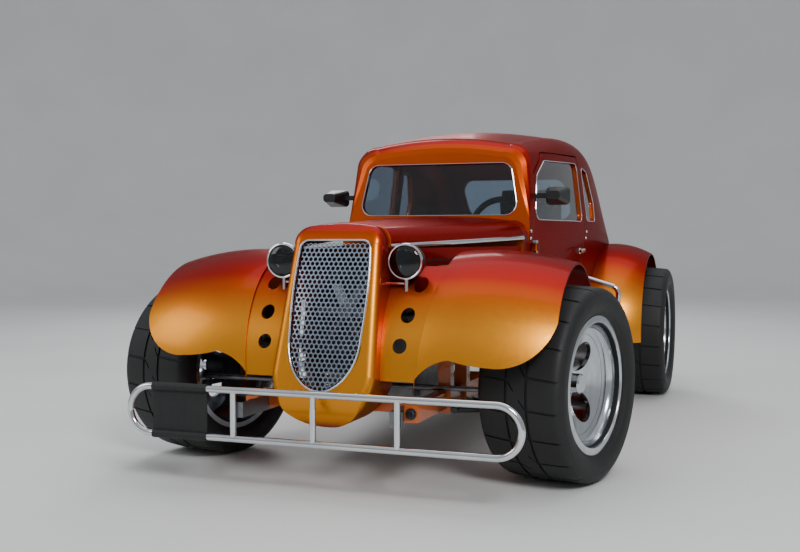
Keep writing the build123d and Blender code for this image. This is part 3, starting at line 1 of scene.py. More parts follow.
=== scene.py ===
"""Looks of the hot rod coupe: finishes, tyre tread, grille sheet, lamps, trim, seat cushions and studio."""

import json
import logging
from dataclasses import dataclass
from enum import Enum
from math import cos, pi, radians, sin, sqrt, tau
from typing import Any, NamedTuple, Sequence

import bpy
from mathutils import Matrix, Vector
from mathutils.bvhtree import BVHTree


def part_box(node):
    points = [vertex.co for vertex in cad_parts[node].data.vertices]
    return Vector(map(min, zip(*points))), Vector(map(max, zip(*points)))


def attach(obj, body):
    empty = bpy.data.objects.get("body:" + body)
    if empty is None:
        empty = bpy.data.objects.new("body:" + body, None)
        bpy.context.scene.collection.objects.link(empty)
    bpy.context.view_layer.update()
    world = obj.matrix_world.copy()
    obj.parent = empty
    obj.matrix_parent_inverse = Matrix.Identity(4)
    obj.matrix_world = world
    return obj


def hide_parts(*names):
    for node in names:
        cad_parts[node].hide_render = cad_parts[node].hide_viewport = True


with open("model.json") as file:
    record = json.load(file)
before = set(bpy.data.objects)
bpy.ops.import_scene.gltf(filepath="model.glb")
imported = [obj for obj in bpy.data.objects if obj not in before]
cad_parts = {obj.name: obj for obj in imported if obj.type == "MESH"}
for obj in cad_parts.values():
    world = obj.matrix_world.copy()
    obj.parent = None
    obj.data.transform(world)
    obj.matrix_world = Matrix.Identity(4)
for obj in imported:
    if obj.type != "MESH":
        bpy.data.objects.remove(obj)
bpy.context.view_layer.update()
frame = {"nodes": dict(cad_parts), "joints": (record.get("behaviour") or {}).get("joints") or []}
LOG = logging.getLogger("hot_rod")
MM = 0.001
# Edges of treads, punched sheet and bolt heads that turn more than this stay sharp.
CRISP_DEG = 30.0
# A place across that is clear of the body's side, where rays start.
OUTSIDE = 0.9
ASIDE = Vector((1, 0, 0))
BACK = Vector((0, 1, 0))
UP = Vector((0, 0, 1))
Point = tuple[float, float]
Face = tuple[int, ...]
Mesh = tuple[list[Vector], list[Face]]
Profile = tuple[Point, ...]
Spot = tuple[float, float, float]
Tree = bpy.types.NodeTree
Socket = bpy.types.NodeSocket


class Side(Enum):
    """The two sides of the car, as the sign of X."""

    LEFT = 1
    RIGHT = -1

    @property
    def word(self) -> str:
        """The side's name as the frame's nodes spell it."""
        return self.name.lower()


class Corner(Enum):
    """The four wheels, by the names of their nodes."""

    FRONT_LEFT = "front_left"
    FRONT_RIGHT = "front_right"
    REAR_LEFT = "rear_left"
    REAR_RIGHT = "rear_right"

    @property
    def sign(self) -> int:
        """The sign of X on this wheel's side."""
        return 1 if self.value.endswith("left") else -1


class Seen(Enum):
    """The side that a window is seen from, as the direction out of the car."""

    LEFT = (1, 0, 0)
    FRONT = (0, -1, 0)
    REAR = (0, 1, 0)


def linear(code: str) -> tuple[float, float, float, float]:
    """Turns an sRGB hex colour into linear RGBA, by the constants of the sRGB standard.

    Args:
        code: Six hex digits, with or without a leading mark.

    Returns:
        Linear red, green, blue and an alpha of one.
    """
    digits = code.lstrip("#")
    shares = [int(digits[i:i + 2], 16) / 255 for i in (0, 2, 4)]
    parts = [c / 12.92 if c <= 0.04045 else ((c + 0.055) / 1.055) ** 2.4 for c in shares]
    return (parts[0], parts[1], parts[2], 1.0)


def per_mm(size: float) -> float:
    """Texture scale, per metre, of a pattern whose repeat is that many millimetres."""
    return 1.0 / (size * MM)


def add(tree: Tree, kind: str, settings: dict[Any, Any] | None = None,
        links: dict[Any, Any] | None = None) -> bpy.types.Node:
    """Adds a node with its settings and links.

    Args:
        tree: The material's node tree.
        kind: The node's type, without its common prefix.
        settings: Properties or input sockets by name, and "stops" for a ramp's positions and colours.
        links: Input sockets by name or number, each with the output socket that feeds it.

    Returns:
        The new node.
    """
    node = tree.nodes.new("ShaderNode" + kind)
    for key, value in (settings or {}).items():
        if key == "stops":
            ramp = node.color_ramp.elements
            while len(ramp) < len(value):
                ramp.new(1.0)
            for element, (place, code) in zip(ramp, value):
                element.position = place
                element.color = linear(code)
        elif isinstance(key, str) and hasattr(node, key):
            setattr(node, key, value)
        else:
            node.inputs[key].default_value = value
    for key, source in (links or {}).items():
        tree.links.new(source, node.inputs[key])
    return node


class Pattern(NamedTuple):
    """What a finish draws: the sources of its colour, of its gloss and, where it has one, of its relief."""

    colour: Socket
    gloss: Socket
    height: Socket | None = None


@dataclass(frozen=True)
class Finish:
    """A surface with mottled colour, uneven gloss and a fine relief.

    The fields give the two colours that it wavers between and how softly, its roughness where the pattern is
    low and where it is high, the sizes of mottle and relief, and the relief's strength.
    """

    name: str
    colour: str
    second: str
    rough: Point
    metallic: float = 0.0
    grain_mm: float = 40.0
    relief_mm: float = 4.0
    relief: float = 0.05
    coat: float = 0.0
    coat_roughness: float = 0.04
    stretch: Spot = (1.0, 1.0, 1.0)
    spread: float = 0.18
    detail: float = 5.0
    relief_detail: float = 3.0
    pattern_top: float = 1.0

    def material(self) -> bpy.types.Material:
        """Builds the material the first time, and gives the same one afterwards.

        Returns:
            The material.
        """
        found = bpy.data.materials.get(self.name)
        if found is not None:
            return found
        made = bpy.data.materials.new(self.name)
        made.use_nodes = True
        tree = made.node_tree
        shader = tree.nodes["Principled BSDF"]
        for socket, value in self.plain().items():
            shader.inputs[socket].default_value = value
        drawn = self.dress(tree)
        low, high = self.rough
        gloss = add(tree, "MapRange", {"From Max": self.pattern_top, "To Min": low, "To Max": high},
                    {"Value": drawn.gloss})
        tree.links.new(drawn.colour, shader.inputs["Base Color"])
        tree.links.new(gloss.outputs["Result"], shader.inputs["Roughness"])
        if drawn.height is not None:
            bump = add(tree, "Bump", {"Strength": self.relief, "Distance": MM}, {"Height": drawn.height})
            tree.links.new(bump.outputs["Normal"], shader.inputs["Normal"])
        return made

    def plain(self) -> dict[str, Any]:
        """The shader's sockets that have one value all over."""
        return {"Metallic": self.metallic, "Coat Weight": self.coat, "Coat Roughness": self.coat_roughness}

    def grain(self, tree: Tree) -> tuple[Socket, bpy.types.Node]:
        """Adds object coordinates, stretched as the surface was worked.

        Args:
            tree: The material's node tree.

        Returns:
            The stretched coordinates, and the node that gives the plain ones and the normal.
        """
        coords = add(tree, "TexCoord")
        worked = add(tree, "Mapping", {"Scale": self.stretch}, {"Vector": coords.outputs["Object"]})
        return worked.outputs["Vector"], coords

    def mottled(self, tree: Tree, worked: Socket) -> Pattern:
        """Adds a cloudy noise that wavers between the two colours.

        Args:
            tree: The material's node tree.
            worked: The stretched coordinates.

        Returns:
            The colour, and the noise as gloss.
        """
        noise = add(tree, "TexNoise", {"Scale": per_mm(self.grain_mm), "Detail": self.detail},
                    {"Vector": worked}).outputs["Fac"]
        stops = [(0.5 - self.spread, self.colour), (0.5 + self.spread, self.second)]
        ramp = add(tree, "ValToRGB", {"stops": stops}, {"Fac": noise})
        return Pattern(ramp.outputs["Color"], noise)

    def dress(self, tree: Tree) -> Pattern:
        """Adds the mottle and a fine noise as relief.

        Args:
            tree: The material's node tree.

        Returns:
            The sources of colour, gloss and relief.
        """
        worked, _ = self.grain(tree)
        fine = add(tree, "TexNoise", {"Scale": per_mm(self.relief_mm), "Detail": self.relief_detail},
                   {"Vector": worked})
        return self.mottled(tree, worked)._replace(height=fine.outputs["Fac"])


@dataclass(frozen=True)
class PearlPaint(Finish):
    """Sprayed pearl enamel under clear lacquer, gold low and crimson high; gold where it faces ahead and
    crimson where it faces up is painted colour flip, which the real pearl shows with the angle of view and
    light.

    The fields ending in gold say how far each cause turns the paint towards gold, and the fields before them
    the shares of the normal pointing ahead, the heights and the places along the car between which it acts;
    the nose's gold flanks are painted highlight.
    """

    flake_mm: float = 2.2
    flake_gold: float = 0.035
    cloud_mm: float = 260.0
    cloud_gold: float = 0.10
    edge: str = "#8A2422"
    middle: tuple[str, str] = ("#A8220B", "#C0520F")
    stops: tuple[float, ...] = (0.04, 0.30, 0.62, 1.0)
    painted_flip: Point = (0.35, 0.97)
    painted_flip_gold: Point = (0.0, 0.74)
    heights: Point = (0.22, 0.78)
    heights_gold: Point = (0.54, -0.24)
    nose_highlight_y: Point = (-1.28, -1.40)
    nose_highlight_gold: Point = (0.0, 0.42)

    def plain(self) -> dict[str, Any]:
        """The plain values, with the tint of the paint seen edge-on."""
        return super().plain() | {"Specular Tint": linear(self.edge)}

    def dress(self, tree: Tree) -> Pattern:
        """Adds the fade from gold to crimson, the painted colour flip, the painted highlight on the nose's
        flanks and the flake.

        Args:
            tree: The material's node tree.

        Returns:
            The colour, and the flake as gloss and relief.
        """
        worked, coords = self.grain(tree)
        normal = add(tree, "SeparateXYZ", links={0: coords.outputs["Normal"]}).outputs
        place = add(tree, "SeparateXYZ", links={0: coords.outputs["Object"]}).outputs
        flank, ahead = (add(tree, "Math", {"operation": "ABSOLUTE"}, {0: normal[axis]}).outputs[0]
                        for axis in "XY")
        # Painted colour flip: the normal pointing ahead or back turns the paint gold, other ways leave it
        # crimson; the height fade is the paint's own two-tone.
        causes = ((ahead, self.painted_flip, self.painted_flip_gold, "SMOOTHSTEP"),
                  (place["Z"], self.heights, self.heights_gold, "LINEAR"),
                  (place["Y"], self.nose_highlight_y, self.nose_highlight_gold, "LINEAR"))
        painted_flip, fade, nose = (
            add(tree, "MapRange", {"From Min": low, "From Max": high, "To Min": least, "To Max": most,
                                   "interpolation_type": kind}, {"Value": source}).outputs["Result"]
            for source, (low, high), (least, most), kind in causes)
        tone = add(tree, "Math", {"operation": "ADD"}, {0: painted_flip, 1: fade}).outputs[0]
        # Painted highlight: the nose's flanks are turned gold near the front, where light from the side
        # falls on them.
        tone = add(tree, "Math", {"operation": "MULTIPLY_ADD"}, {0: flank, 1: nose, 2: tone}).outputs[0]
        cloud = add(tree, "TexNoise", {"Scale": per_mm(self.cloud_mm)}, {"Vector": worked}).outputs["Fac"]
        # The real flake is a tenth of this size: it is drawn coarse enough to show as sparkle.
        flake = add(tree, "TexVoronoi", {"Scale": per_mm(self.flake_mm)}, {"Vector": worked})
        glint = add(tree, "SeparateColor", links={0: flake.outputs["Color"]}).outputs[0]
        for source, gold in ((cloud, self.cloud_gold), (glint, self.flake_gold)):
            tone = add(tree, "Math", {"operation": "MULTIPLY_ADD", 1: gold}, {0: source, 2: tone}).outputs[0]
        stops = list(zip(self.stops, (self.second, *self.middle, self.colour)))
        ramp = add(tree, "ValToRGB", {"stops": stops}, {"Fac": tone})
        return Pattern(ramp.outputs["Color"], glint, glint)


@dataclass(frozen=True)
class Glass(Finish):
    """Float or pressed glass: tinted all through, faintly smeared and, if pressed, with upright flutes."""

    spread: float = 0.15
    detail: float = 4.0
    ior: float = 1.5
    flute_mm: float = 0.0

    def plain(self) -> dict[str, Any]:
        """The plain values of a clear shader."""
        return super().plain() | {"Transmission Weight": 1.0, "IOR": self.ior}

    def dress(self, tree: Tree) -> Pattern:
        """Adds smears, and flutes where the glass has them.

        Args:
            tree: The material's node tree.

        Returns:
            The sources of tint, gloss and, where there are flutes, relief.
        """
        worked, _ = self.grain(tree)
        drawn = self.mottled(tree, worked)
        if not self.flute_mm:
            return drawn
        flutes = add(tree, "TexWave", {"bands_direction": "X", "Scale": per_mm(self.flute_mm) / pi},
                     {"Vector": worked})
        return drawn._replace(height=flutes.outputs["Fac"])


@dataclass(frozen=True)
class Leather(Finish):
    """Grained upholstery hide: cells of grain with soft creases and a dull sheen."""

    spread: float = 0.20
    detail: float = 4.0
    pattern_top: float = 0.5
    sheen: float = 0.15
    cell_mm: float = 5.0

    def plain(self) -> dict[str, Any]:
        """The plain values, with the hide's sheen."""
        return super().plain() | {"Sheen Weight": self.sheen}

    def dress(self, tree: Tree) -> Pattern:
        """Adds patches of colour and the grain's cells.

        Args:
            tree: The material's node tree.

        Returns:
            The colour, and the distance from the creases as gloss and relief.
        """
        worked, _ = self.grain(tree)
        cells = add(tree, "TexVoronoi", {"feature": "DISTANCE_TO_EDGE", "Scale": per_mm(self.cell_mm)},
                    {"Vector": worked}).outputs["Distance"]
        return Pattern(self.mottled(tree, worked).colour, cells, cells)


# Candy pearl over a metal base: a deep gloss, gold low and crimson high, whose colour turns from gold to
# crimson round each curve as painted colour flip, with painted highlight in gold on the nose's flanks.
PEARL = PearlPaint("pearl_enamel_lacquered", "#DB8C20", "#A0140A", (0.28, 0.42), metallic=0.84,
                   relief=0.008, coat=0.16, coat_roughness=0.10)
# Powder coat on suspension arms and bolts: an even black with the skin of an orange peel.
DARK_POWDER = Finish("powder_coat_black", "#141416", "#1E1E21", (0.30, 0.44), grain_mm=60, relief_mm=5,
                     relief=0.12, coat=0.3)
# Powder coat on steel tube: an even orange with the skin of an orange peel.
POWDER = Finish("powder_coat_orange", "#B4500F", "#C4631A", (0.32, 0.45), grain_mm=60, relief_mm=5,
                relief=0.12, coat=0.4)
# Bright chrome plate on steel tube: a mirror with faint hazy patches.
CHROME = Finish("chrome_plate_polished", "#CDD0D4", "#DDDFE2", (0.04, 0.14), metallic=1.0, grain_mm=90,
                relief_mm=60, relief=0.01)
# Buffed aluminium wheel: a soft mirror with turning marks.
ALLOY = Finish("aluminium_buffed", "#B9BDC3", "#CED1D5", (0.10, 0.22), metallic=1.0, grain_mm=70,
               relief_mm=3, relief=0.015, stretch=(6.0, 1.0, 1.0))
# Punched aluminium sheet: satin, with a rolled grain.
PUNCHED = Finish("aluminium_punched_satin", "#95A1B4", "#AAB5C6", (0.20, 0.32), metallic=1.0, grain_mm=30,
                 relief_mm=2, relief=0.04, stretch=(1.0, 1.0, 5.0))
# Cured tyre rubber: a dull black with grey bloom and a moulded skin.
RUBBER = Finish("tyre_rubber_moulded", "#0C0C0D", "#151516", (0.50, 0.75), grain_mm=35, relief_mm=3,
                relief=0.20)
# Tinted float glass: a cool grey that darkens the cabin.
TINTED = Glass("float_glass_tinted", "#B4C3D2", "#BDCAD7", (0.0, 0.03), grain_mm=160)
# Smoked lamp glass: a smooth dark dome that keeps a clear highlight.
LAMP_GLASS = Glass("lamp_glass_smoked", "#4A5158", "#565D64", (0.02, 0.06), grain_mm=30)
# Moulded red acrylic with pressed flutes: a deep red that breaks the light into upright bars.
RED_LENS = Glass("acrylic_red_moulded", "#B0120C", "#C41A12", (0.04, 0.10), grain_mm=20, relief=0.4,
                 flute_mm=6)
# Moulded satin plastic: near black, with a fine spark-eroded grain.
PLASTIC = Finish("abs_black_grained", "#0B0C0D", "#121314", (0.36, 0.50), relief_mm=1.5, relief=0.10)
# Rubber tape round the bumper: matt black with the ridges of its wraps.
WRAP = Finish("rubber_tape_wrapped", "#0E0E0F", "#1A1A1B", (0.55, 0.72), grain_mm=30, relief_mm=7,
              relief=0.5, stretch=(3.0, 0.4, 0.4))
# Bright mild steel: drawn bar with grain along it.
STEEL = Finish("mild_steel_drawn", "#6E7175", "#8B8E92", (0.30, 0.46), metallic=1.0, grain_mm=25,
               relief_mm=3, stretch=(1.0, 6.0, 1.0))
# Sand-cast alloy: pale grey with a pebbled skin.
CAST_ALLOY = Finish("aluminium_sand_cast", "#7C7F82", "#92959A", (0.45, 0.6), metallic=0.9, grain_mm=30,
                    relief_mm=3, relief=0.35)
# Cast iron under thin paint: dark grey and rough.
IRON = Finish("iron_sand_cast", "#26282B", "#3A3C3F", (0.5, 0.68), metallic=0.6, relief=0.4)
# Moulded composite tub: dull charcoal.
TUB = Finish("composite_tub_moulded", "#1D1E21", "#2A2B2F", (0.45, 0.6), grain_mm=60, relief_mm=3,
             relief=0.15)
# Upholstery hide on the seat's cushions: soft black with grain, duller in its creases.
HIDE = Leather("leather_black_grained", "#17171A", "#232327", (0.62, 0.42), grain_mm=70, relief=0.5)
# Silvered reflector bowl: a clean mirror.
SILVER = Finish("reflector_silvered", "#D6D8DA", "#E4E5E6", (0.05, 0.10), metallic=1.0, grain_mm=20,
                relief_mm=20, relief=0.01)
# Painted shade: matt black laid in the recess behind a rim's step and in each punched hole, standing in for
# the shade there.
SHADE_BLACK = Finish("painted_shade_matt_black", "#050505", "#0A0A0A", (0.8, 0.9), grain_mm=10)
# Sealed screed of the studio's floor: pale, with a faint cloud and a soft sheen.
SCREED = Finish("screed_sealed_pale", "#D9D9D7", "#DEDEDC", (0.55, 0.65), grain_mm=900, relief_mm=30,
                relief=0.02)

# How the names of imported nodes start, under the finish that those nodes get.
NODE_FINISHES: dict[Finish, tuple[str, ...]] = {
    PEARL: ("body_shell", "boot_lid", "cowl", "door_left", "door_right", "fender_aprons", "front_fender",
            "grille_shell", "hood", "rear_fender"),
    POWDER: ("chassis_frame",),
    DARK_POWDER: ("front_suspension", "rear_suspension", "radiator"),
    CHROME: ("front_bumper", "rear_bumper", "side_bars", "headlamp_brackets", "door_hinges", "boot_hinges"),
    ALLOY: ("rim",),
    PUNCHED: ("grille_mesh",),
    RUBBER: ("tyre",),
    TINTED: ("windscreen", "quarter_glass", "rear_glass", "door_glass"),
    LAMP_GLASS: ("headlamp_lenses",),
    RED_LENS: ("tail_lamps",),
    PLASTIC: ("mirror", "headlamp_buckets", "dashboard", "steering_column"),
    WRAP: ("bumper_plate",),
    STEEL: ("bumper_brackets", "steering_link", "driveshaft", "exhaust"),
    CAST_ALLOY: ("engine", "cooling_fan"),
    IRON: ("rear_axle", "knuckle"),
    TUB: ("floor_pan", "seat"),
}


def dress_nodes() -> None:
    """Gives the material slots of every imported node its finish."""
    for name, node in frame["nodes"].items():
        finish = next(look for look, starts in NODE_FINISHES.items() if name.startswith(starts))
        slots = node.data.materials
        if not slots:
            slots.append(None)
        for i in range(len(slots)):
            slots[i] = finish.material()


def shares(parts: int) -> list[float]:
    """Even shares from nothing to the whole, with both ends."""
    return [i / parts for i in range(parts + 1)]


def joined(meshes: Sequence[Mesh]) -> Mesh:
    """Puts several meshes into one.

    Args:
        meshes: Vertices and faces of each.

    Returns:
        Vertices and faces of all of them.
    """
    points: list[Vector] = []
    faces: list[Face] = []
    for part, rings in meshes:
        start = len(points)
        points += part
        faces += [tuple(start + i for i in ring) for ring in rings]
    return points, faces


def moved(mesh: Mesh, place: Matrix) -> Mesh:
    """Moves a mesh to a place.

    Args:
        mesh: Vertices and faces.
        place: The place; a mirrored one turns the faces round so that they still face out.

    Returns:
        Vertices and faces there.
    """
    points, faces = mesh
    if place.determinant() < 0:
        faces = [tuple(reversed(ring)) for ring in faces]
    return [place @ p for p in points], faces


def aimed(place: Vector, along: Vector) -> Matrix:
    """A place whose Z axis points along a direction."""
    return Matrix.Translation(place) @ along.to_track_quat("Z", "Y").to_matrix().to_4x4()


def mirrored(mesh: Mesh) -> Mesh:
    """The mesh on the other side of the car."""
    return moved(mesh, Matrix.Scale(-1, 4, ASIDE))


def on_side(mesh: Mesh, side: Side) -> Mesh:
    """A mesh made for the left side, as it is on one of the sides."""
    return mesh if side is Side.LEFT else mirrored(mesh)


def on_both(mesh: Mesh, place: Spot, along: Vector) -> Mesh:
    """A turned form at a place on the left and at the same place on the right, aimed along one direction."""
    x, y, z = place
    return joined([moved(mesh, aimed(Vector((side.value * x, y, z)), along)) for side in Side])


def bridged(rings: int, count: int, loop: bool, closed: bool) -> list[Face]:
    """Faces between neighbouring rings of points.

    Args:
        rings: Rings, one after another in the list of points.
        count: Points of each ring.
        loop: Whether the last ring joins the first.
        closed: Whether each ring's last point joins its first.

    Returns:
        Four points for each face: this ring's, the next ring's two, and this ring's next.
    """
    faces: list[Face] = []
    for i in range(rings if loop else rings - 1):
        a, b = i * count, (i + 1) % rings * count
        for j in range(count if closed else count - 1):
            k = (j + 1) % count
            faces.append((a + j, b + j, b + k, a + k))
    return faces


def revolved(profile: Sequence[Point], steps: int) -> Mesh:
    """Turns a profile about the Z axis.

    Args:
        profile: Height and radius of each point; going up, its outer side faces away from the axis.
        steps: Parts of the full turn.

    Returns:
        Vertices and faces.
    """
    points = [Vector((r * cos(tau * i / steps), r * sin(tau * i / steps), h))
              for i in range(steps) for h, r in profile]
    return points, bridged(steps, len(profile), True, False)


def tube(path: Sequence[Vector], wide: float, tall: float, up: Vector, close: bool = False,
         sides: int = 10) -> Mesh:
    """Sweeps an oval along a path.

    Args:
        path: Points of the centre line.
        wide: Half size across the path, at right angles to up.
        tall: Half size towards up.
        up: Direction that stays nearest to the section's tall side.
        close: Whether the path is a loop.
        sides: Points of the oval.

    Returns:
        Vertices and faces, with closed ends on an open path.
    """
    count = len(path)
    points: list[Vector] = []
    for i, here in enumerate(path):
        after = path[(i + 1) % count] if close or i < count - 1 else here
        before = path[i - 1] if close or i > 0 else here
        along = (after - before).normalized()
        across = along.cross(up).normalized()
        rise = across.cross(along)
        points += [here + across * wide * cos(tau * k / sides) + rise * tall * sin(tau * k / sides)
                   for k in range(sides)]
    faces = bridged(count, sides, close, True)
    if not close:
        faces.append(tuple(range(sides)))
        faces.append(tuple(reversed(range((count - 1) * sides, count * sides))))
    return points, faces


def rounded_loop(corners: Sequence[Point], radius: float, steps: int = 6, run: float = 0.03) -> list[Point]:
    """A closed outline with round corners and evenly divided straight runs.

    Args:
        corners: The outline's corners.
        radius: Radius of each round corner.
        steps: Parts of each corner's arc.
        run: Least length of a straight run's parts.

    Returns:
        Points round the outline.
    """
    arcs: list[list[Point]] = []
    for i, corner in enumerate(corners):
        here = Vector(corner)
        back = (Vector(corners[i - 1]) - here).normalized()
        ahead = (Vector(corners[(i + 1) % len(corners)]) - here).normalized()
        half = back.angle(ahead) / 2
        reach = radius * cos(half) / sin(half)
        centre = here + (back + ahead).normalized() * radius / sin(half)
        first, last = here + back * reach - centre, here + ahead * reach - centre
        spokes = [first.lerp(last, share).normalized() * radius for share in shares(steps)]
        arcs.append([tuple(centre + spoke) for spoke in spokes])
    out: list[Point] = []
    for arc, following in zip(arcs, arcs[1:] + arcs[:1]):
        start = Vector(arc[-1])
        gap = Vector(following[0]) - start
        parts = max(1, int(gap.length / run))
        out += arc + [tuple(start + gap * k / parts) for k in range(1, parts)]
    return out


def placed(name: str, data: bpy.types.ID) -> bpy.types.Object:
    """Puts a new object into the scene.

    Args:
        name: The object's name.
        data: Its mesh, light or camera.

    Returns:
        The object.
    """
    made = bpy.data.objects.new(name, data)
    bpy.context.scene.collection.objects.link(made)
    return made


def smooth(name: str, mesh: Mesh, finish: Finish) -> bpy.types.Mesh:
    """New mesh data with smooth faces.

    Args:
        name: The data's name.
        mesh: Vertices and faces in the car's frame, in metres.
        finish: Its finish.

    Returns:
        The data.
    """
    data = bpy.data.meshes.new(name)
    data.from_pydata([tuple(p) for p in mesh[0]], [], mesh[1])
    data.validate()
    data.shade_smooth()
    data.materials.append(finish.material())
    return data


def piece(name: str, mesh: Mesh, finish: Finish, body: str = "chassis", sharp_deg: float = 38.0,
          stands_for: Sequence[str] = ()) -> bpy.types.Object:
    """Adds a mesh to the car.

    Args:
        name: The piece's name.
        mesh: Vertices and faces in the car's frame, in metres.
        finish: Its finish.
        body: The body that it moves with.
        sharp_deg: Edges that turn more than this stay sharp.
        stands_for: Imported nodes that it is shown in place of.

    Returns:
        The new object.
    """
    data = smooth(name, mesh, finish)
    data.set_sharp_from_angle(angle=radians(sharp_deg))
    made = placed(name, data)
    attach(made, body)
    if stands_for:
        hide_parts(*stands_for)
    LOG.info("%s: %d faces on %s", name, len(data.polygons), body)
    return made


class Skin:
    """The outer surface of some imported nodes, to lay trim on."""

    def __init__(self, *nodes: str) -> None:
        """Gathers the nodes' faces.

        Args:
            nodes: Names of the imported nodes.
        """
        meshes: list[Mesh] = []
        for name in nodes:
            data = frame["nodes"][name].data
            meshes.append(([v.co.copy() for v in data.vertices], [tuple(p.vertices) for p in data.polygons]))
        self.tree = BVHTree.FromPolygons(*joined(meshes))

    def hit(self, start: Vector, along: Vector, lift: float = 0.0) -> Vector | None:
        """The first point of the surface on a ray, lifted back along it, or None where it meets nothing."""
        place, _, _, _ = self.tree.ray_cast(start, along.normalized())
        return None if place is None else place - along.normalized() * lift

    def beside(self, y: float, z: float) -> Vector | None:
        """The point of the surface that is met from the car's left at a place along it and a height."""
        return self.hit(Vector((OUTSIDE, y, z)), -ASIDE)


@dataclass
class Tyre:
    """A wide slick-shouldered tyre with moulded grooves, round the Z axis until it is placed."""

    radius: float = 0.292
    tread_half: float = 0.111
    shoulder_drop: float = 0.005
    # The section from the bead up the side to the shoulder: places across and radii.
    wall: Profile = (
        (0.1082, 0.1973), (0.1082, 0.2060), (0.1142, 0.2060), (0.1215, 0.2135), (0.1224, 0.2160),
        (0.1250, 0.2180), (0.1292, 0.2280), (0.1316, 0.2390), (0.1325, 0.2490), (0.1322, 0.2560),
        (0.1318, 0.2600), (0.1325, 0.2615), (0.1318, 0.2630), (0.1296, 0.2690), (0.1265, 0.2765),
        (0.1218, 0.2818), (0.1165, 0.2852))
    # Places across the tread outside its long grooves, and between them and the middle.
    outer_lands: tuple[float, ...] = (0.111, 0.1, 0.085, 0.07, 0.055)
    inner_land: float = 0.021
    blocks: int = 20
    # Places round a block: groove edge, its floor's two ends, its other edge, then plain tread.
    marks: tuple[float, ...] = (0.0, 0.012, 0.068, 0.080, 0.26, 0.45, 0.64, 0.82)
    floor_marks: tuple[int, int] = (1, 2)
    groove_depth: float = 0.0055
    groove_wall: float = 0.0012
    cross_share: float = 0.8
    shoulder_share: float = 0.6
    rib_inner: float = 0.0285
    rib_outer: float = 0.0350
    centre_rib: float = 0.008
    centre_slant: float = 0.45
    shoulder_slant: float = 0.07
    shoulder_fade: float = 0.127
    plain_below: float = 0.256

    def columns(self) -> list[Point]:
        """The section from one bead over the tread to the other.

        Returns:
            Places across and radii.
        """
        across = [*self.outer_lands, self.rib_outer + self.groove_wall, self.rib_outer, self.rib_inner,
                  self.rib_inner - self.groove_wall, self.inner_land, self.centre_rib + self.groove_wall,
                  self.centre_rib]
        half = [*self.wall, *((x, self.crown(x)) for x in across)]
        return half + [(0.0, self.radius)] + [(-x, r) for x, r in reversed(half)]

    def crown(self, x: float) -> float:
        """Radius of the tread's gentle crown at a place across it."""
        return self.radius - self.shoulder_drop * (x / self.tread_half) ** 2

    def slant(self, x: float) -> float:
        """How far the grooves lean.

        Args:
            x: Place across the tread.

        Returns:
            Share of a block.
        """
        reach = min(abs(x), self.rib_inner) / self.rib_inner * self.centre_slant
        past = max(0.0, abs(x) - self.rib_outer) / (self.tread_half - self.rib_outer)
        return (reach + past * self.shoulder_slant) * (1 if x > 0 else -1)

    def depth(self, x: float, radius: float, mark: int) -> float:
        """Groove depth at a point.

        Args:
            x: Place across the tread.
            radius: The section's radius there.
            mark: Which of a block's places it is at.

        Returns:
            Depth below the tread.
        """
        away = abs(x)
        if radius < self.plain_below:
            return 0.0
        if self.rib_inner <= away <= self.rib_outer:
            return self.groove_depth
        if mark not in self.floor_marks or away <= self.centre_rib:
            return 0.0
        if away <= self.tread_half:
            return self.groove_depth * self.cross_share
        share = (self.shoulder_fade - away) / (self.shoulder_fade - self.tread_half)
        return self.groove_depth * self.shoulder_share * max(0.0, min(1.0, share))

    def mesh(self) -> Mesh:
        """The whole tyre.

        Returns:
            Vertices and faces.
        """
        section = self.columns()
        steps = self.blocks * len(self.marks)
        points: list[Vector] = []
        for i in range(steps):
            block, mark = divmod(i, len(self.marks))
            for x, r in section:
                deep = r - self.depth(x, r, mark)
                turn = tau * (block + self.marks[mark] + self.slant(x)) / self.blocks
                points.append(Vector((deep * cos(turn), deep * sin(turn), x)))
        return points, [(a, d, c, b) for a, b, c, d in bridged(steps, len(section), True, True)]


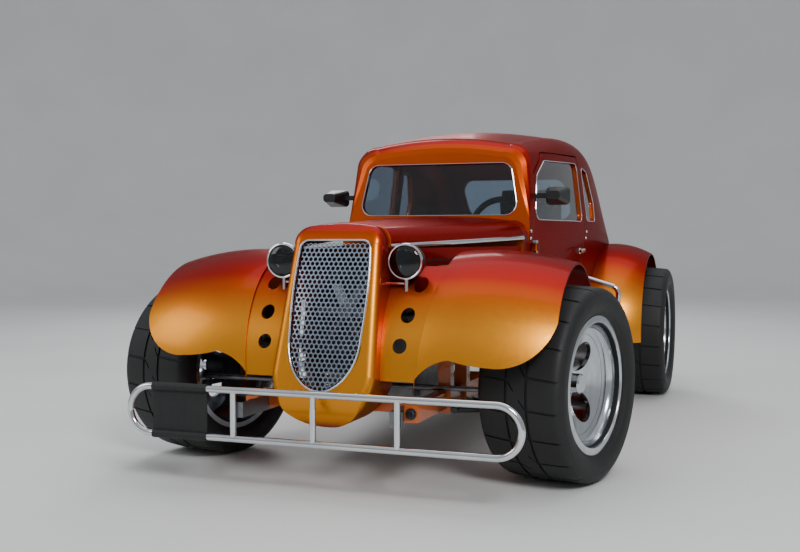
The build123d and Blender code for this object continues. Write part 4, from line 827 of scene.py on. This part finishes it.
@dataclass
class Wheels:
    """Tyres with tread, and the turned lip on each rim with its step, painted matt black as shade."""

    face: float = 0.1160
    # The lip's section: places out from the rim's face and radii.
    lip: Profile = ((-0.0040, 0.2045), (0.0004, 0.2045), (0.0014, 0.2030), (0.0006, 0.1850),
                    (-0.0010, 0.1835), (-0.0050, 0.1830))
    # Foot of the step, painted black as shade, and edge of the dished disc: places out from the wheel's
    # middle and radii.
    foot: Point = (0.0970, 0.1800)
    dish: Point = (0.0675, 0.1500)
    shoulder_parts: int = 10
    turn_parts: int = 96

    def place(self, corner: Corner) -> Matrix:
        """Where a wheel stands: its centre from the tyre's box, its outer face along the spin axis.

        Args:
            corner: The wheel.

        Returns:
            Place whose Z axis points out of the car.
        """
        low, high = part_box(f"tyre_{corner.value}")
        joint = next(j for j in frame["joints"] if j["name"] == f"spin_{corner.value}")
        out = Vector(joint["axis"]).normalized() * (1 if joint["axis"][0] * corner.sign > 0 else -1)
        return aimed((low + high) / 2, out)

    def shoulder(self) -> list[Point]:
        """The polished round from the step's foot down to the disc.

        Returns:
            Places out and radii.
        """
        rise, run = self.foot[0] - self.dish[0], self.foot[1] - self.dish[1]
        turns = [pi / 2 * share for share in reversed(shares(self.shoulder_parts))]
        return [(self.dish[0] + rise * (1 - cos(a)), self.dish[1] + run * sin(a)) for a in turns]

    def build(self) -> None:
        """Makes the four tyres and the turned rings of their rims."""
        tyre = Tyre().mesh()
        lip = [(self.face + out, radius) for out, radius in self.lip]
        rings = joined([revolved(lip, self.turn_parts), revolved(self.shoulder(), self.turn_parts)])
        step = revolved([lip[-1], self.foot], self.turn_parts)
        for corner in Corner:
            spot = self.place(corner)
            body = f"wheel_{corner.value}"
            piece(f"tyre_tread_{corner.value}", moved(tyre, spot), RUBBER, body,
                  CRISP_DEG, [f"tyre_{corner.value}"])
            piece(f"rim_lip_{corner.value}", moved(rings, spot), ALLOY, body)
            # Painted shade: the step is matt black where the barrel's wall lies in shade.
            piece(f"rim_step_shade_{corner.value}", moved(step, spot), SHADE_BLACK, body)


@dataclass
class Grille:
    """Fine punched sheet on the raked plane of the nose, with a bright edge round it."""

    half: float = 0.118
    top: float = 0.718
    low: float = 0.292
    top_y: float = -1.390
    low_y: float = -1.517
    # The shield outline: height of its round foot, then what shapes its half width, as shares of half.
    foot_rise: float = 0.150
    waist: float = 0.955
    swell: float = 0.055
    swell_reach: float = 1.02
    draw: float = 0.012
    foot_power: float = 2.05
    foot_ease: float = 1.02
    corner: float = 0.026
    side_parts: int = 30
    corner_parts: int = 6
    pitch: float = 0.0150
    hole: float = 0.0057
    hole_parts: int = 12
    # Least room from a hole's middle to the outline, as shares of the pitch.
    side_room: float = 0.30
    top_room: float = 0.35
    sheet: float = 0.0016
    sink: float = 0.007
    bow: float = 0.010
    edge: float = 0.0030
    edge_scale: float = 0.985
    edge_stand: float = 0.001
    edge_up: Spot = (0, -1, 0.3)

    def plane_y(self, z: float) -> float:
        """Where the raked plane is at a height."""
        return self.low_y + (z - self.low) * (self.top_y - self.low_y) / (self.top - self.low)

    def half_at(self, z: float) -> float:
        """Half width of the shield outline, nearly straight above and round at the foot.

        Args:
            z: Height.

        Returns:
            Half width there.
        """
        foot = self.low + self.foot_rise
        if z >= foot:
            share = (z - foot) / (self.top - foot)
            bulge = self.swell * sin(pi * min(1.0, share * self.swell_reach))
            return self.half * (self.waist + bulge - self.draw * share)
        drop = (foot - z) / (foot - self.low)
        return self.half * self.waist * sqrt(max(0.0, 1 - drop ** self.foot_power)) ** self.foot_ease

    def outline(self) -> list[Point]:
        """The shield outline, from the foot round to the foot.

        Returns:
            Places across and heights.
        """
        rise = self.top - self.corner - self.low
        heights = [self.low + rise * (1 - cos(pi / 2 * share)) for share in shares(self.side_parts)]
        right = [(self.half_at(z), z) for z in heights]
        x, z = right[-1]
        bends = [pi / 2 * share for share in shares(self.corner_parts)[1:]]
        right += [(x - self.corner * (1 - cos(a)), z + self.corner * sin(a)) for a in bends]
        return right + [(-x, z) for x, z in reversed(right[1:])]

    def shown(self, x: float, z: float, back: float) -> Vector:
        """The bowed sheet's point at a place across and a height, some way behind its front face."""
        bow = self.bow * max(0.0, sin(pi * (z - self.low) / (self.top - self.low)))
        return Vector((x, self.plane_y(z) + self.sink - bow * (1 - (x / self.half) ** 2) + back, z))

    def spots(self) -> list[Point]:
        """Middles of the punched holes, with every other row shifted by half a pitch.

        Returns:
            Places across and heights.
        """
        rise = self.pitch * sqrt(3) / 2
        columns = int(2 * self.half / self.pitch) + 2
        out: list[Point] = []
        for row in range(int((self.top - self.low) / rise) + 1):
            z = self.low + (row + 0.5) * rise
            if z > self.top - self.pitch * self.top_room:
                continue
            reach = self.half_at(z) - self.pitch * self.side_room
            places = [(column + 0.5 * (row % 2)) * self.pitch for column in range(-columns, columns + 1)]
            out += [(x, z) for x in places if abs(x) <= reach]
        return out

    def holes(self) -> Mesh:
        """The punched sheet: a ring of faces round each hole, front, back and wall.

        Returns:
            Vertices and faces.
        """
        sides = self.hole_parts
        points: list[Vector] = []
        faces: list[Face] = []
        for x, z in self.spots():
            start = len(points)
            for back in (0.0, self.sheet):
                for k in range(sides):
                    turn = tau * k / sides
                    # Corners of the hexagonal cell, and between them the middles of its sides.
                    cell = self.pitch / sqrt(3) * (sqrt(3) / 2 if k % 2 else 1.0)
                    for reach in (cell, self.hole):
                        points.append(self.shown(x + reach * sin(turn), z + reach * cos(turn), back))
            wall = 2 * sides
            for k in range(sides):
                n = (k + 1) % sides
                a, b, c, d = (start + i for i in (2 * k, 2 * n, 2 * n + 1, 2 * k + 1))
                faces.append((a, d, c, b))
                faces.append((a + wall, b + wall, c + wall, d + wall))
                faces.append((d, d + wall, c + wall, c))
        return points, faces

    def build(self) -> None:
        """Makes the sheet and its bright edge."""
        piece("grille_sheet", self.holes(), PUNCHED, sharp_deg=CRISP_DEG,
              stands_for=["grille_mesh"])
        loop = [Vector((x * self.edge_scale, self.plane_y(z) - self.edge_stand, z))
                for x, z in self.outline()]
        trim = tube(loop, self.edge, self.edge, Vector(self.edge_up), close=True)
        piece("grille_edge", trim, CHROME)


@dataclass
class Lamps:
    """Bullet headlamps with rims, bowls and bulbs, and the rims of the tail lamps."""

    place: Spot = (0.196, -1.340, 0.656)
    radius: float = 0.052
    depth: float = 0.074
    collar: float = 0.020
    # Sections of collar and rim: places back from the lamp's front, and radii past the lamp's radius.
    collar_section: Profile = ((-0.002, -0.004), (-0.002, 0.0), (0.009, 0.0004), (0.010, -0.0012),
                               (0.012, 0.0))
    rim_section: Profile = ((-0.001, -0.0046), (-0.005, -0.0042), (-0.006, -0.0020), (-0.005, 0.0006),
                            (-0.001, 0.0018), (0.004, 0.0014), (0.005, 0.0004))
    # The bulb's section: places back from the lamp's front and radii.
    bulb: Profile = ((0.0, 0.0004), (0.002, 0.0060), (0.008, 0.0085), (0.014, 0.006), (0.034, 0.006))
    mirror_inset: float = 0.007
    mirror_depth: float = 0.034
    lens_inset: float = 0.0045
    lens_back: float = -0.001
    dome: float = 0.014
    glass: float = 0.0022
    pole: float = 0.0004
    turn_parts: int = 48
    sharp_deg: float = 40.0
    tail_across: float = 0.190
    tail_height: float = 0.350
    tail_radius: float = 0.034
    tail_sink: float = 0.012
    tail_section: Profile = ((-0.004, 0.004), (0.0, 0.0052), (0.004, 0.004), (0.005, 0.0), (0.002, -0.002))
    tail_parts: int = 40

    def bowl(self, edge: float, depth: float, start: float, steps: int = 12) -> list[Point]:
        """Heights and radii of a round bowl, from its edge at a start height to its pole a depth on."""
        turns = [pi / 2 * share for share in shares(steps)]
        return [(start + depth * sin(a), max(self.pole, edge * cos(a))) for a in turns]

    def build(self) -> None:
        """Makes both headlamps and the tail lamps' rims."""
        r = self.radius
        lens_edge = r - self.lens_inset
        shell = [(h, r + out) for h, out in self.collar_section]
        shell += self.bowl(r, self.depth - self.collar, self.collar)
        mirror_bowl = self.bowl(r - self.mirror_inset, self.mirror_depth, 0.0)[::-1]
        lens = self.bowl(lens_edge, -self.dome, self.lens_back)[::-1]
        lens += self.bowl(lens_edge, -self.dome + self.glass, self.lens_back)[1:]
        rim = [(h, r + out) for h, out in self.rim_section]
        parts = {"headlamp_shells": (shell, PLASTIC, "black_plastic", ["headlamp_buckets"]),
                 "headlamp_bowls": (mirror_bowl, SILVER, "chrome", []),
                 "headlamp_glass": (lens, LAMP_GLASS, "lamp_glass", ["headlamp_lenses"]),
                 "headlamp_rims": (rim, CHROME, "chrome", []),
                 "headlamp_bulbs": (self.bulb, LAMP_GLASS, "lamp_glass", [])}
        for name, (profile, finish, slot, nodes) in parts.items():
            pair = on_both(revolved(profile, self.turn_parts), self.place, BACK)
            piece(name, pair, finish, sharp_deg=self.sharp_deg, stands_for=nodes)
        ring = revolved([(h, self.tail_radius + out) for h, out in self.tail_section], self.tail_parts)
        spot = (self.tail_across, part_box("tail_lamps")[1].y - self.tail_sink, self.tail_height)
        piece("tail_lamp_rims", on_both(ring, spot, BACK), CHROME)


@dataclass(frozen=True)
class Window:
    """A window's outline as it is seen from one side, and the panels round it.

    The corners are places across the view and heights; far is where rays towards the panels start.
    """

    corners: Profile
    radius: float
    seen: Seen
    panels: tuple[str, ...]
    far: float = OUTSIDE
    least_step: float = 0.004

    def grown(self, by: float) -> list[Point]:
        """The outline drawn out from its middle by a distance along each axis."""
        mid = [(min(c[i] for c in self.corners) + max(c[i] for c in self.corners)) / 2 for i in (0, 1)]
        return [tuple(c[i] + (by if c[i] > mid[i] else -by) for i in (0, 1)) for c in self.corners]

    def bead(self, half: float, grow: float, lift: float) -> Mesh:
        """A bright bead laid on the panels round the window.

        Args:
            half: Half thickness of the bead.
            grow: Distance from the window's edge.
            lift: Distance off the panels.

        Returns:
            Vertices and faces.
        """
        out = Vector(self.seen.value)
        skin = Skin(*self.panels)
        path: list[Vector] = []
        for across, z in rounded_loop(self.grown(grow), self.radius):
            flat = Vector((0, across, z) if self.seen is Seen.LEFT else (across, 0, z))
            found = skin.hit(flat + out * self.far, -out, lift)
            if found is not None and (not path or (found - path[-1]).length > self.least_step):
                path.append(found)
        return tube(path, half, half, out, close=True, sides=8)


@dataclass
class BodyTrim:
    """Bright mouldings, window edges, handles, bolts and punched rows on the body."""

    door_window: Window = Window(((-0.385, 0.792), (-0.336, 0.955), (-0.245, 1.016), (0.180, 1.030),
                                  (0.180, 0.792)), 0.032, Seen.LEFT, ("door_left",))
    quarter_window: Window = Window(((0.262, 0.795), (0.262, 1.020), (0.370, 1.005), (0.440, 0.880),
                                     (0.415, 0.795)), 0.024, Seen.LEFT, ("body_shell",))
    screen: Window = Window(((-0.312, 0.808), (-0.276, 1.000), (0.276, 1.000), (0.312, 0.808)), 0.042,
                            Seen.FRONT, ("body_shell", "cowl"))
    rear_window: Window = Window(((-0.255, 0.812), (-0.255, 1.000), (0.255, 1.000), (0.255, 0.812)), 0.060,
                                 Seen.REAR, ("body_shell",), far=1.7)
    bead: float = 0.0019
    bead_grow: float = 0.00114
    lift: float = 0.0006
    strip_half: Point = (0.0035, 0.007)
    strip_stand: float = 0.0015
    strip_parts: int = 24
    hood_front: Spot = (0.146, -1.331, 0.700)
    hood_rear: Spot = (0.350, -0.520, 0.724)
    # The seam's bead, a thin pearl tube whose gold stands in for the highlight on the rounded edge between
    # nose and hood: height of the middle that it goes round, and its start and span in half turns.
    seam_z: float = 0.69
    seam_span: Point = (0.03, 0.94)
    seam_parts: int = 48
    seam_half: float = 0.0016
    seam_reach: float = 0.4
    handle_y: float = 0.165
    handle_z: float = 0.668
    handle_reach: float = 0.105
    handle_start: Point = (0.021, 0.014)
    handle_bow: float = 0.004
    handle_half: Point = (0.0045, 0.0075)
    handle_parts: int = 12
    # Turned sections: heights and radii.
    stem: Profile = ((0.0, 0.015), (0.003, 0.0145), (0.006, 0.010), (0.014, 0.0075), (0.020, 0.0070))
    washer: Profile = ((0.0, 0.0165), (0.002, 0.0165), (0.0024, 0.0155), (0.0024, 0.0005))
    hex_head: Profile = ((0.002, 0.0125), (0.0095, 0.0125), (0.011, 0.0105), (0.011, 0.0004))
    round_head: Profile = ((0.0, 0.0065), (0.0016, 0.0064), (0.0032, 0.005), (0.0042, 0.0025),
                           (0.0045, 0.0003))
    punch: Profile = ((0.0, 0.0062), (0.0006, 0.0058), (0.0006, 0.0046), (0.0002, 0.0042), (0.0002, 0.0003))
    horn_x: float = 0.250
    horn_z: float = 0.232
    pillar_bolts: Profile = ((-0.437, 0.722), (-0.437, 0.748), (0.238, 0.722), (0.238, 0.748))
    punch_pitch: float = 0.021
    punch_rows: tuple[float, ...] = (0.655, 0.637)
    punch_span: Point = (-1.26, -0.60)
    punch_aim: Spot = (0.97, -0.243, 0)

    def windows(self) -> None:
        """Makes the beads round every window."""
        sizes = (self.bead, self.bead_grow, self.lift)
        door, quarter = self.door_window.bead(*sizes), self.quarter_window.bead(*sizes)
        for side in Side:
            piece(f"door_window_bead_{side.word}", on_side(door, side), CHROME, f"door_{side.word}")
            piece(f"quarter_window_bead_{side.word}", on_side(quarter, side), CHROME)
        piece("screen_bead", self.screen.bead(*sizes), CHROME)
        piece("rear_window_bead", self.rear_window.bead(*sizes), CHROME)

    def mouldings(self) -> None:
        """Makes the hood's edge strips, and the bead between nose and hood that stands in for the highlight
        on its rounded edge.
        """
        start, end = (Vector(p) + ASIDE * self.strip_stand for p in (self.hood_front, self.hood_rear))
        path = [start.lerp(end, share) for share in shares(self.strip_parts)]
        strip = tube(path, *self.strip_half, UP, sides=12)
        piece("hood_strips", joined([strip, mirrored(strip)]), CHROME)
        skin = Skin("hood", "grille_shell")
        centre = Vector((0, self.hood_front[1], self.seam_z))
        line: list[Vector] = []
        for share in shares(self.seam_parts):
            turn = pi * (self.seam_span[0] + self.seam_span[1] * share)
            away = Vector((cos(turn), 0, sin(turn)))
            found = skin.hit(centre + away * self.seam_reach, -away, self.lift)
            if found is not None:
                line.append(found)
        seam = tube(line, self.seam_half, self.seam_half, BACK, sides=8)
        # Painted highlight: the pearl bead's gold line stands in for the light caught by the panel's rounded
        # edge.
        piece("hood_seam_highlight_bead", seam, PEARL)

    def handles(self) -> None:
        """Makes a lever handle on each door."""
        foot = Skin("door_left").beside(self.handle_y, self.handle_z)
        out, start = self.handle_start
        lever: list[Vector] = []
        for share in shares(self.handle_parts):
            bow = self.handle_bow * sin(pi * share)
            lever.append(foot + Vector((out + bow, start - self.handle_reach * share, bow)))
        made = joined([moved(revolved(self.stem, steps=24), aimed(foot, ASIDE)),
                       tube(lever, *self.handle_half, UP, sides=12)])
        for side in Side:
            piece(f"door_handle_{side.word}", on_side(made, side), CHROME, f"door_{side.word}")

    def laid(self, skin: Skin, form: Mesh, spots: Sequence[Point], aim: Vector) -> Mesh:
        """A small form repeated on both sides of the body.

        Args:
            skin: The panels that it lies on.
            form: The form, about the Z axis.
            spots: Places along the car and heights.
            aim: Direction of its axis on the left side.

        Returns:
            Vertices and faces of all of them.
        """
        found = [place for place in (skin.beside(y, z) for y, z in spots) if place is not None]
        left = joined([moved(form, aimed(place, aim)) for place in found])
        return joined([left, mirrored(left)])

    def bolts(self) -> None:
        """Makes the frame horns' hex bolts and the round heads on the pillars."""
        bolt = joined([revolved(self.washer, steps=28), revolved(self.hex_head, steps=6)])
        spot = (self.horn_x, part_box("chassis_frame")[0].y, self.horn_z)
        piece("horn_bolts", on_both(bolt, spot, -BACK), DARK_POWDER, sharp_deg=CRISP_DEG)
        head = revolved(self.round_head, steps=16)
        heads = self.laid(Skin("body_shell", "cowl"), head, self.pillar_bolts, ASIDE)
        piece("pillar_bolts", heads, CHROME)

    def punched_rows(self) -> None:
        """Makes the rows of small punched holes in the recessed hood sides, drawn as matt black discs of
        painted shade.
        """
        low, high = self.punch_span
        count = int((high - low) / self.punch_pitch)
        spots = [(low + (i + 0.5 * (row % 2)) * self.punch_pitch, z)
                 for row, z in enumerate(self.punch_rows) for i in range(count)]
        hole = revolved(self.punch, steps=10)
        holes = self.laid(Skin("hood_sides"), hole, spots, Vector(self.punch_aim))
        # Painted shade: each hole is a flat black disc on the panel, standing in for the shade inside it.
        piece("hood_side_punch_shade", holes, SHADE_BLACK)

    def build(self) -> None:
        """Makes all the trim."""
        self.windows()
        self.mouldings()
        self.handles()
        self.bolts()
        self.punched_rows()


@dataclass
class Cabin:
    """Padding of the bucket seat and the mirrors' glasses."""

    seat_x: float = 0.186
    cushion_half: float = 0.104
    rows: int = 56
    columns: int = 32
    # How far the sides pull in between the corners, as shares of the half sizes.
    end_pull: float = 0.035
    side_pull: float = 0.05
    crown_power: int = 6
    crown_ease: float = 0.45
    edge_rise: float = 0.72
    crown_sag: float = 0.4
    underside: float = 0.006
    channels: int = 5
    channel_depth: float = 0.007
    channel_ease: float = 0.35
    channel_end: float = 0.86
    pad_sharp_deg: float = 60.0
    mirror_half: Point = (0.040, 0.028)
    mirror_corner: float = 0.012
    mirror_inset: float = 0.045
    mirror_stand: float = 0.0004
    mirror_thick: float = 0.003
    mirror_z: float = 0.878

    def pad_height(self, u: float, v: float, thick: float) -> Point:
        """Heights of a pad's face and of its underside.

        Args:
            u: Place along the pad, from -1 to 1.
            v: Place across it, from -1 to 1.
            thick: Thickness at the crown.

        Returns:
            Height of the face, with its sewn channels, and of the underside.
        """
        crown = ((1 - u ** self.crown_power) * (1 - v ** self.crown_power)) ** self.crown_ease
        seam = abs(sin(pi * self.channels * (v + 1) / 2)) ** self.channel_ease
        if abs(u) >= self.channel_end:
            seam = 1.0
        domed = (1 - self.edge_rise) * (1 - v * v) * (1 - self.crown_sag * u * u)
        rise = thick * (self.edge_rise + domed) - self.channel_depth * (1 - seam)
        return rise * crown, -self.underside * crown

    def cushion(self, middle: Vector, along: Vector, across: Vector, thick: float) -> Mesh:
        """A crowned pad whose sides pull in between its corners, with sewn channels on its face.

        Args:
            middle: Middle of the pad's back face.
            along: Half length, as a direction.
            across: Half width, as a direction; the pad rises to the side of across turned onto along.
            thick: Thickness at the crown.

        Returns:
            Vertices and faces of a closed pad.
        """
        out = across.cross(along).normalized()
        sheets: tuple[list[Vector], list[Vector]] = ([], [])
        for u in (-cos(pi * share) for share in shares(self.rows)):
            for v in (-cos(pi * share) for share in shares(self.columns)):
                flat = middle + along * u * (1 - self.end_pull * (1 - v * v))
                flat += across * v * (1 - self.side_pull * (1 - u * u))
                for sheet, height in zip(sheets, self.pad_height(u, v, thick)):
                    sheet.append(flat + out * height)
        grid = bridged(self.rows + 1, self.columns + 1, False, False)
        face = (sheets[0], [(a, d, c, b) for a, b, c, d in grid])
        return joined([face, (sheets[1], [(b, c, d, a) for a, b, c, d in grid])])

    def mirror_glass(self, middle: Vector) -> Mesh:
        """A mirror's flat glass with round corners.

        Args:
            middle: Middle of its face.

        Returns:
            Vertices and faces of a closed plate.
        """
        wide, tall = self.mirror_half
        corners = [(-wide, -tall), (wide, -tall), (wide, tall), (-wide, tall)]
        face = [middle + Vector((x, 0, z)) for x, z in rounded_loop(corners, self.mirror_corner, run=0.1)]
        rear = [p - BACK * self.mirror_thick for p in face]
        count = len(face)
        faces: list[Face] = [tuple(reversed(range(count))), tuple(range(count, 2 * count))]
        faces += [(a, d, c, b) for a, b, c, d in bridged(2, count, False, True)]
        return face + rear, faces

    def build(self) -> None:
        """Makes the cushions and the mirror glasses."""
        # Middle of the back face, half length as a direction, and thickness of each pad.
        pads = {
            "seat_cushion": (Vector((self.seat_x, -0.010, 0.392)), Vector((0, 0.142, -0.011)), 0.055),
            "seat_back_pad": (Vector((self.seat_x, 0.205, 0.640)), Vector((0, 0.048, 0.225)), 0.050),
        }
        for name, (middle, along, thick) in pads.items():
            pad = self.cushion(middle, along, ASIDE * self.cushion_half, thick)
            made = piece(name, pad, HIDE, sharp_deg=self.pad_sharp_deg)
        for side in Side:
            low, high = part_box(f"mirror_{side.word}")
            outer = high.x if side is Side.LEFT else low.x
            x = outer - side.value * self.mirror_inset
            glass = self.mirror_glass(Vector((x, high.y + self.mirror_stand, self.mirror_z)))
            piece(f"mirror_glass_{side.word}", glass, SILVER, f"door_{side.word}")


@dataclass
class Studio:
    """Pale floor that sweeps up into a round wall, soft lights and the camera."""

    floor_radius: float = 9.0
    floor_pole: float = 0.0004
    sweep: float = 4.0
    sweep_parts: int = 16
    wall_top: float = 7.0
    turn_parts: int = 96
    room_colour: str = "#DDE2E8"
    room_strength: float = 0.75
    camera_place: Spot = (1.220, -4.187, 0.730)
    camera_tilt_deg: float = 87.81
    camera_pan_deg: float = 20.07
    lens_mm: float = 47.07
    sensor_mm: float = 36.0

    def floor(self) -> None:
        """Makes the floor and its swept-up edge."""
        wall_radius = self.floor_radius + self.sweep
        bends = [pi / 2 * share for share in reversed(shares(self.sweep_parts))]
        profile = [(self.wall_top, wall_radius)]
        profile += [(self.sweep * (1 - cos(a)), self.floor_radius + self.sweep * sin(a)) for a in bends]
        profile.append((0.0, self.floor_pole))
        made = placed("studio_floor", smooth("studio_floor", revolved(profile, self.turn_parts), SCREED))

    def lights(self) -> None:
        """Hangs the soft boxes and sets the room's own light."""
        world = bpy.data.worlds.new("studio_room")
        bpy.context.scene.world = world
        world.use_nodes = True
        sky = world.node_tree.nodes["Background"]
        sky.inputs["Color"].default_value = linear(self.room_colour)
        sky.inputs["Strength"].default_value = self.room_strength
        # Place, aim, size in metres and power in watts of each box.
        boxes = {
            "key_box": ((2.8, -4.6, 3.6), (0.2, -0.9, 0.5), 1.5, 170.0),
            "fill_box": ((-3.8, -3.4, 2.8), (-0.2, -0.9, 0.5), 2.2, 42.0),
            "top_box": ((0.0, 0.3, 4.6), (0, 0, 0.4), 4.2, 66.0),
            "back_box": ((-2.2, 4.6, 3.6), (0, 0.6, 0.6), 2.0, 90.0),
        }
        for name, (spot, aim, size, power) in boxes.items():
            lamp = bpy.data.lights.new(name, "AREA")
            lamp.shape = "SQUARE"
            lamp.size = size
            lamp.energy = power
            made = placed(name, lamp)
            made.location = spot
            made.rotation_euler = (Vector(aim) - Vector(spot)).to_track_quat("-Z", "Y").to_euler()

    def camera(self) -> None:
        """Sets the camera at the photograph's angle."""
        view = bpy.data.cameras.new("camera")
        view.lens = self.lens_mm
        view.sensor_width = self.sensor_mm
        view.sensor_fit = "HORIZONTAL"
        made = placed("camera", view)
        made.location = self.camera_place
        made.rotation_euler = (radians(self.camera_tilt_deg), 0, radians(self.camera_pan_deg))
        bpy.context.scene.camera = made

    def build(self) -> None:
        """Makes floor, lights and camera."""
        self.floor()
        self.lights()
        self.camera()


def main() -> None:
    """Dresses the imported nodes, then builds each sub-assembly in order."""
    logging.basicConfig(level=logging.INFO, format="%(message)s")
    dress_nodes()
    for assembly in (Wheels(), Grille(), Lamps(), BodyTrim(), Cabin(), Studio()):
        assembly.build()


if __name__ == "__main__":
    main()
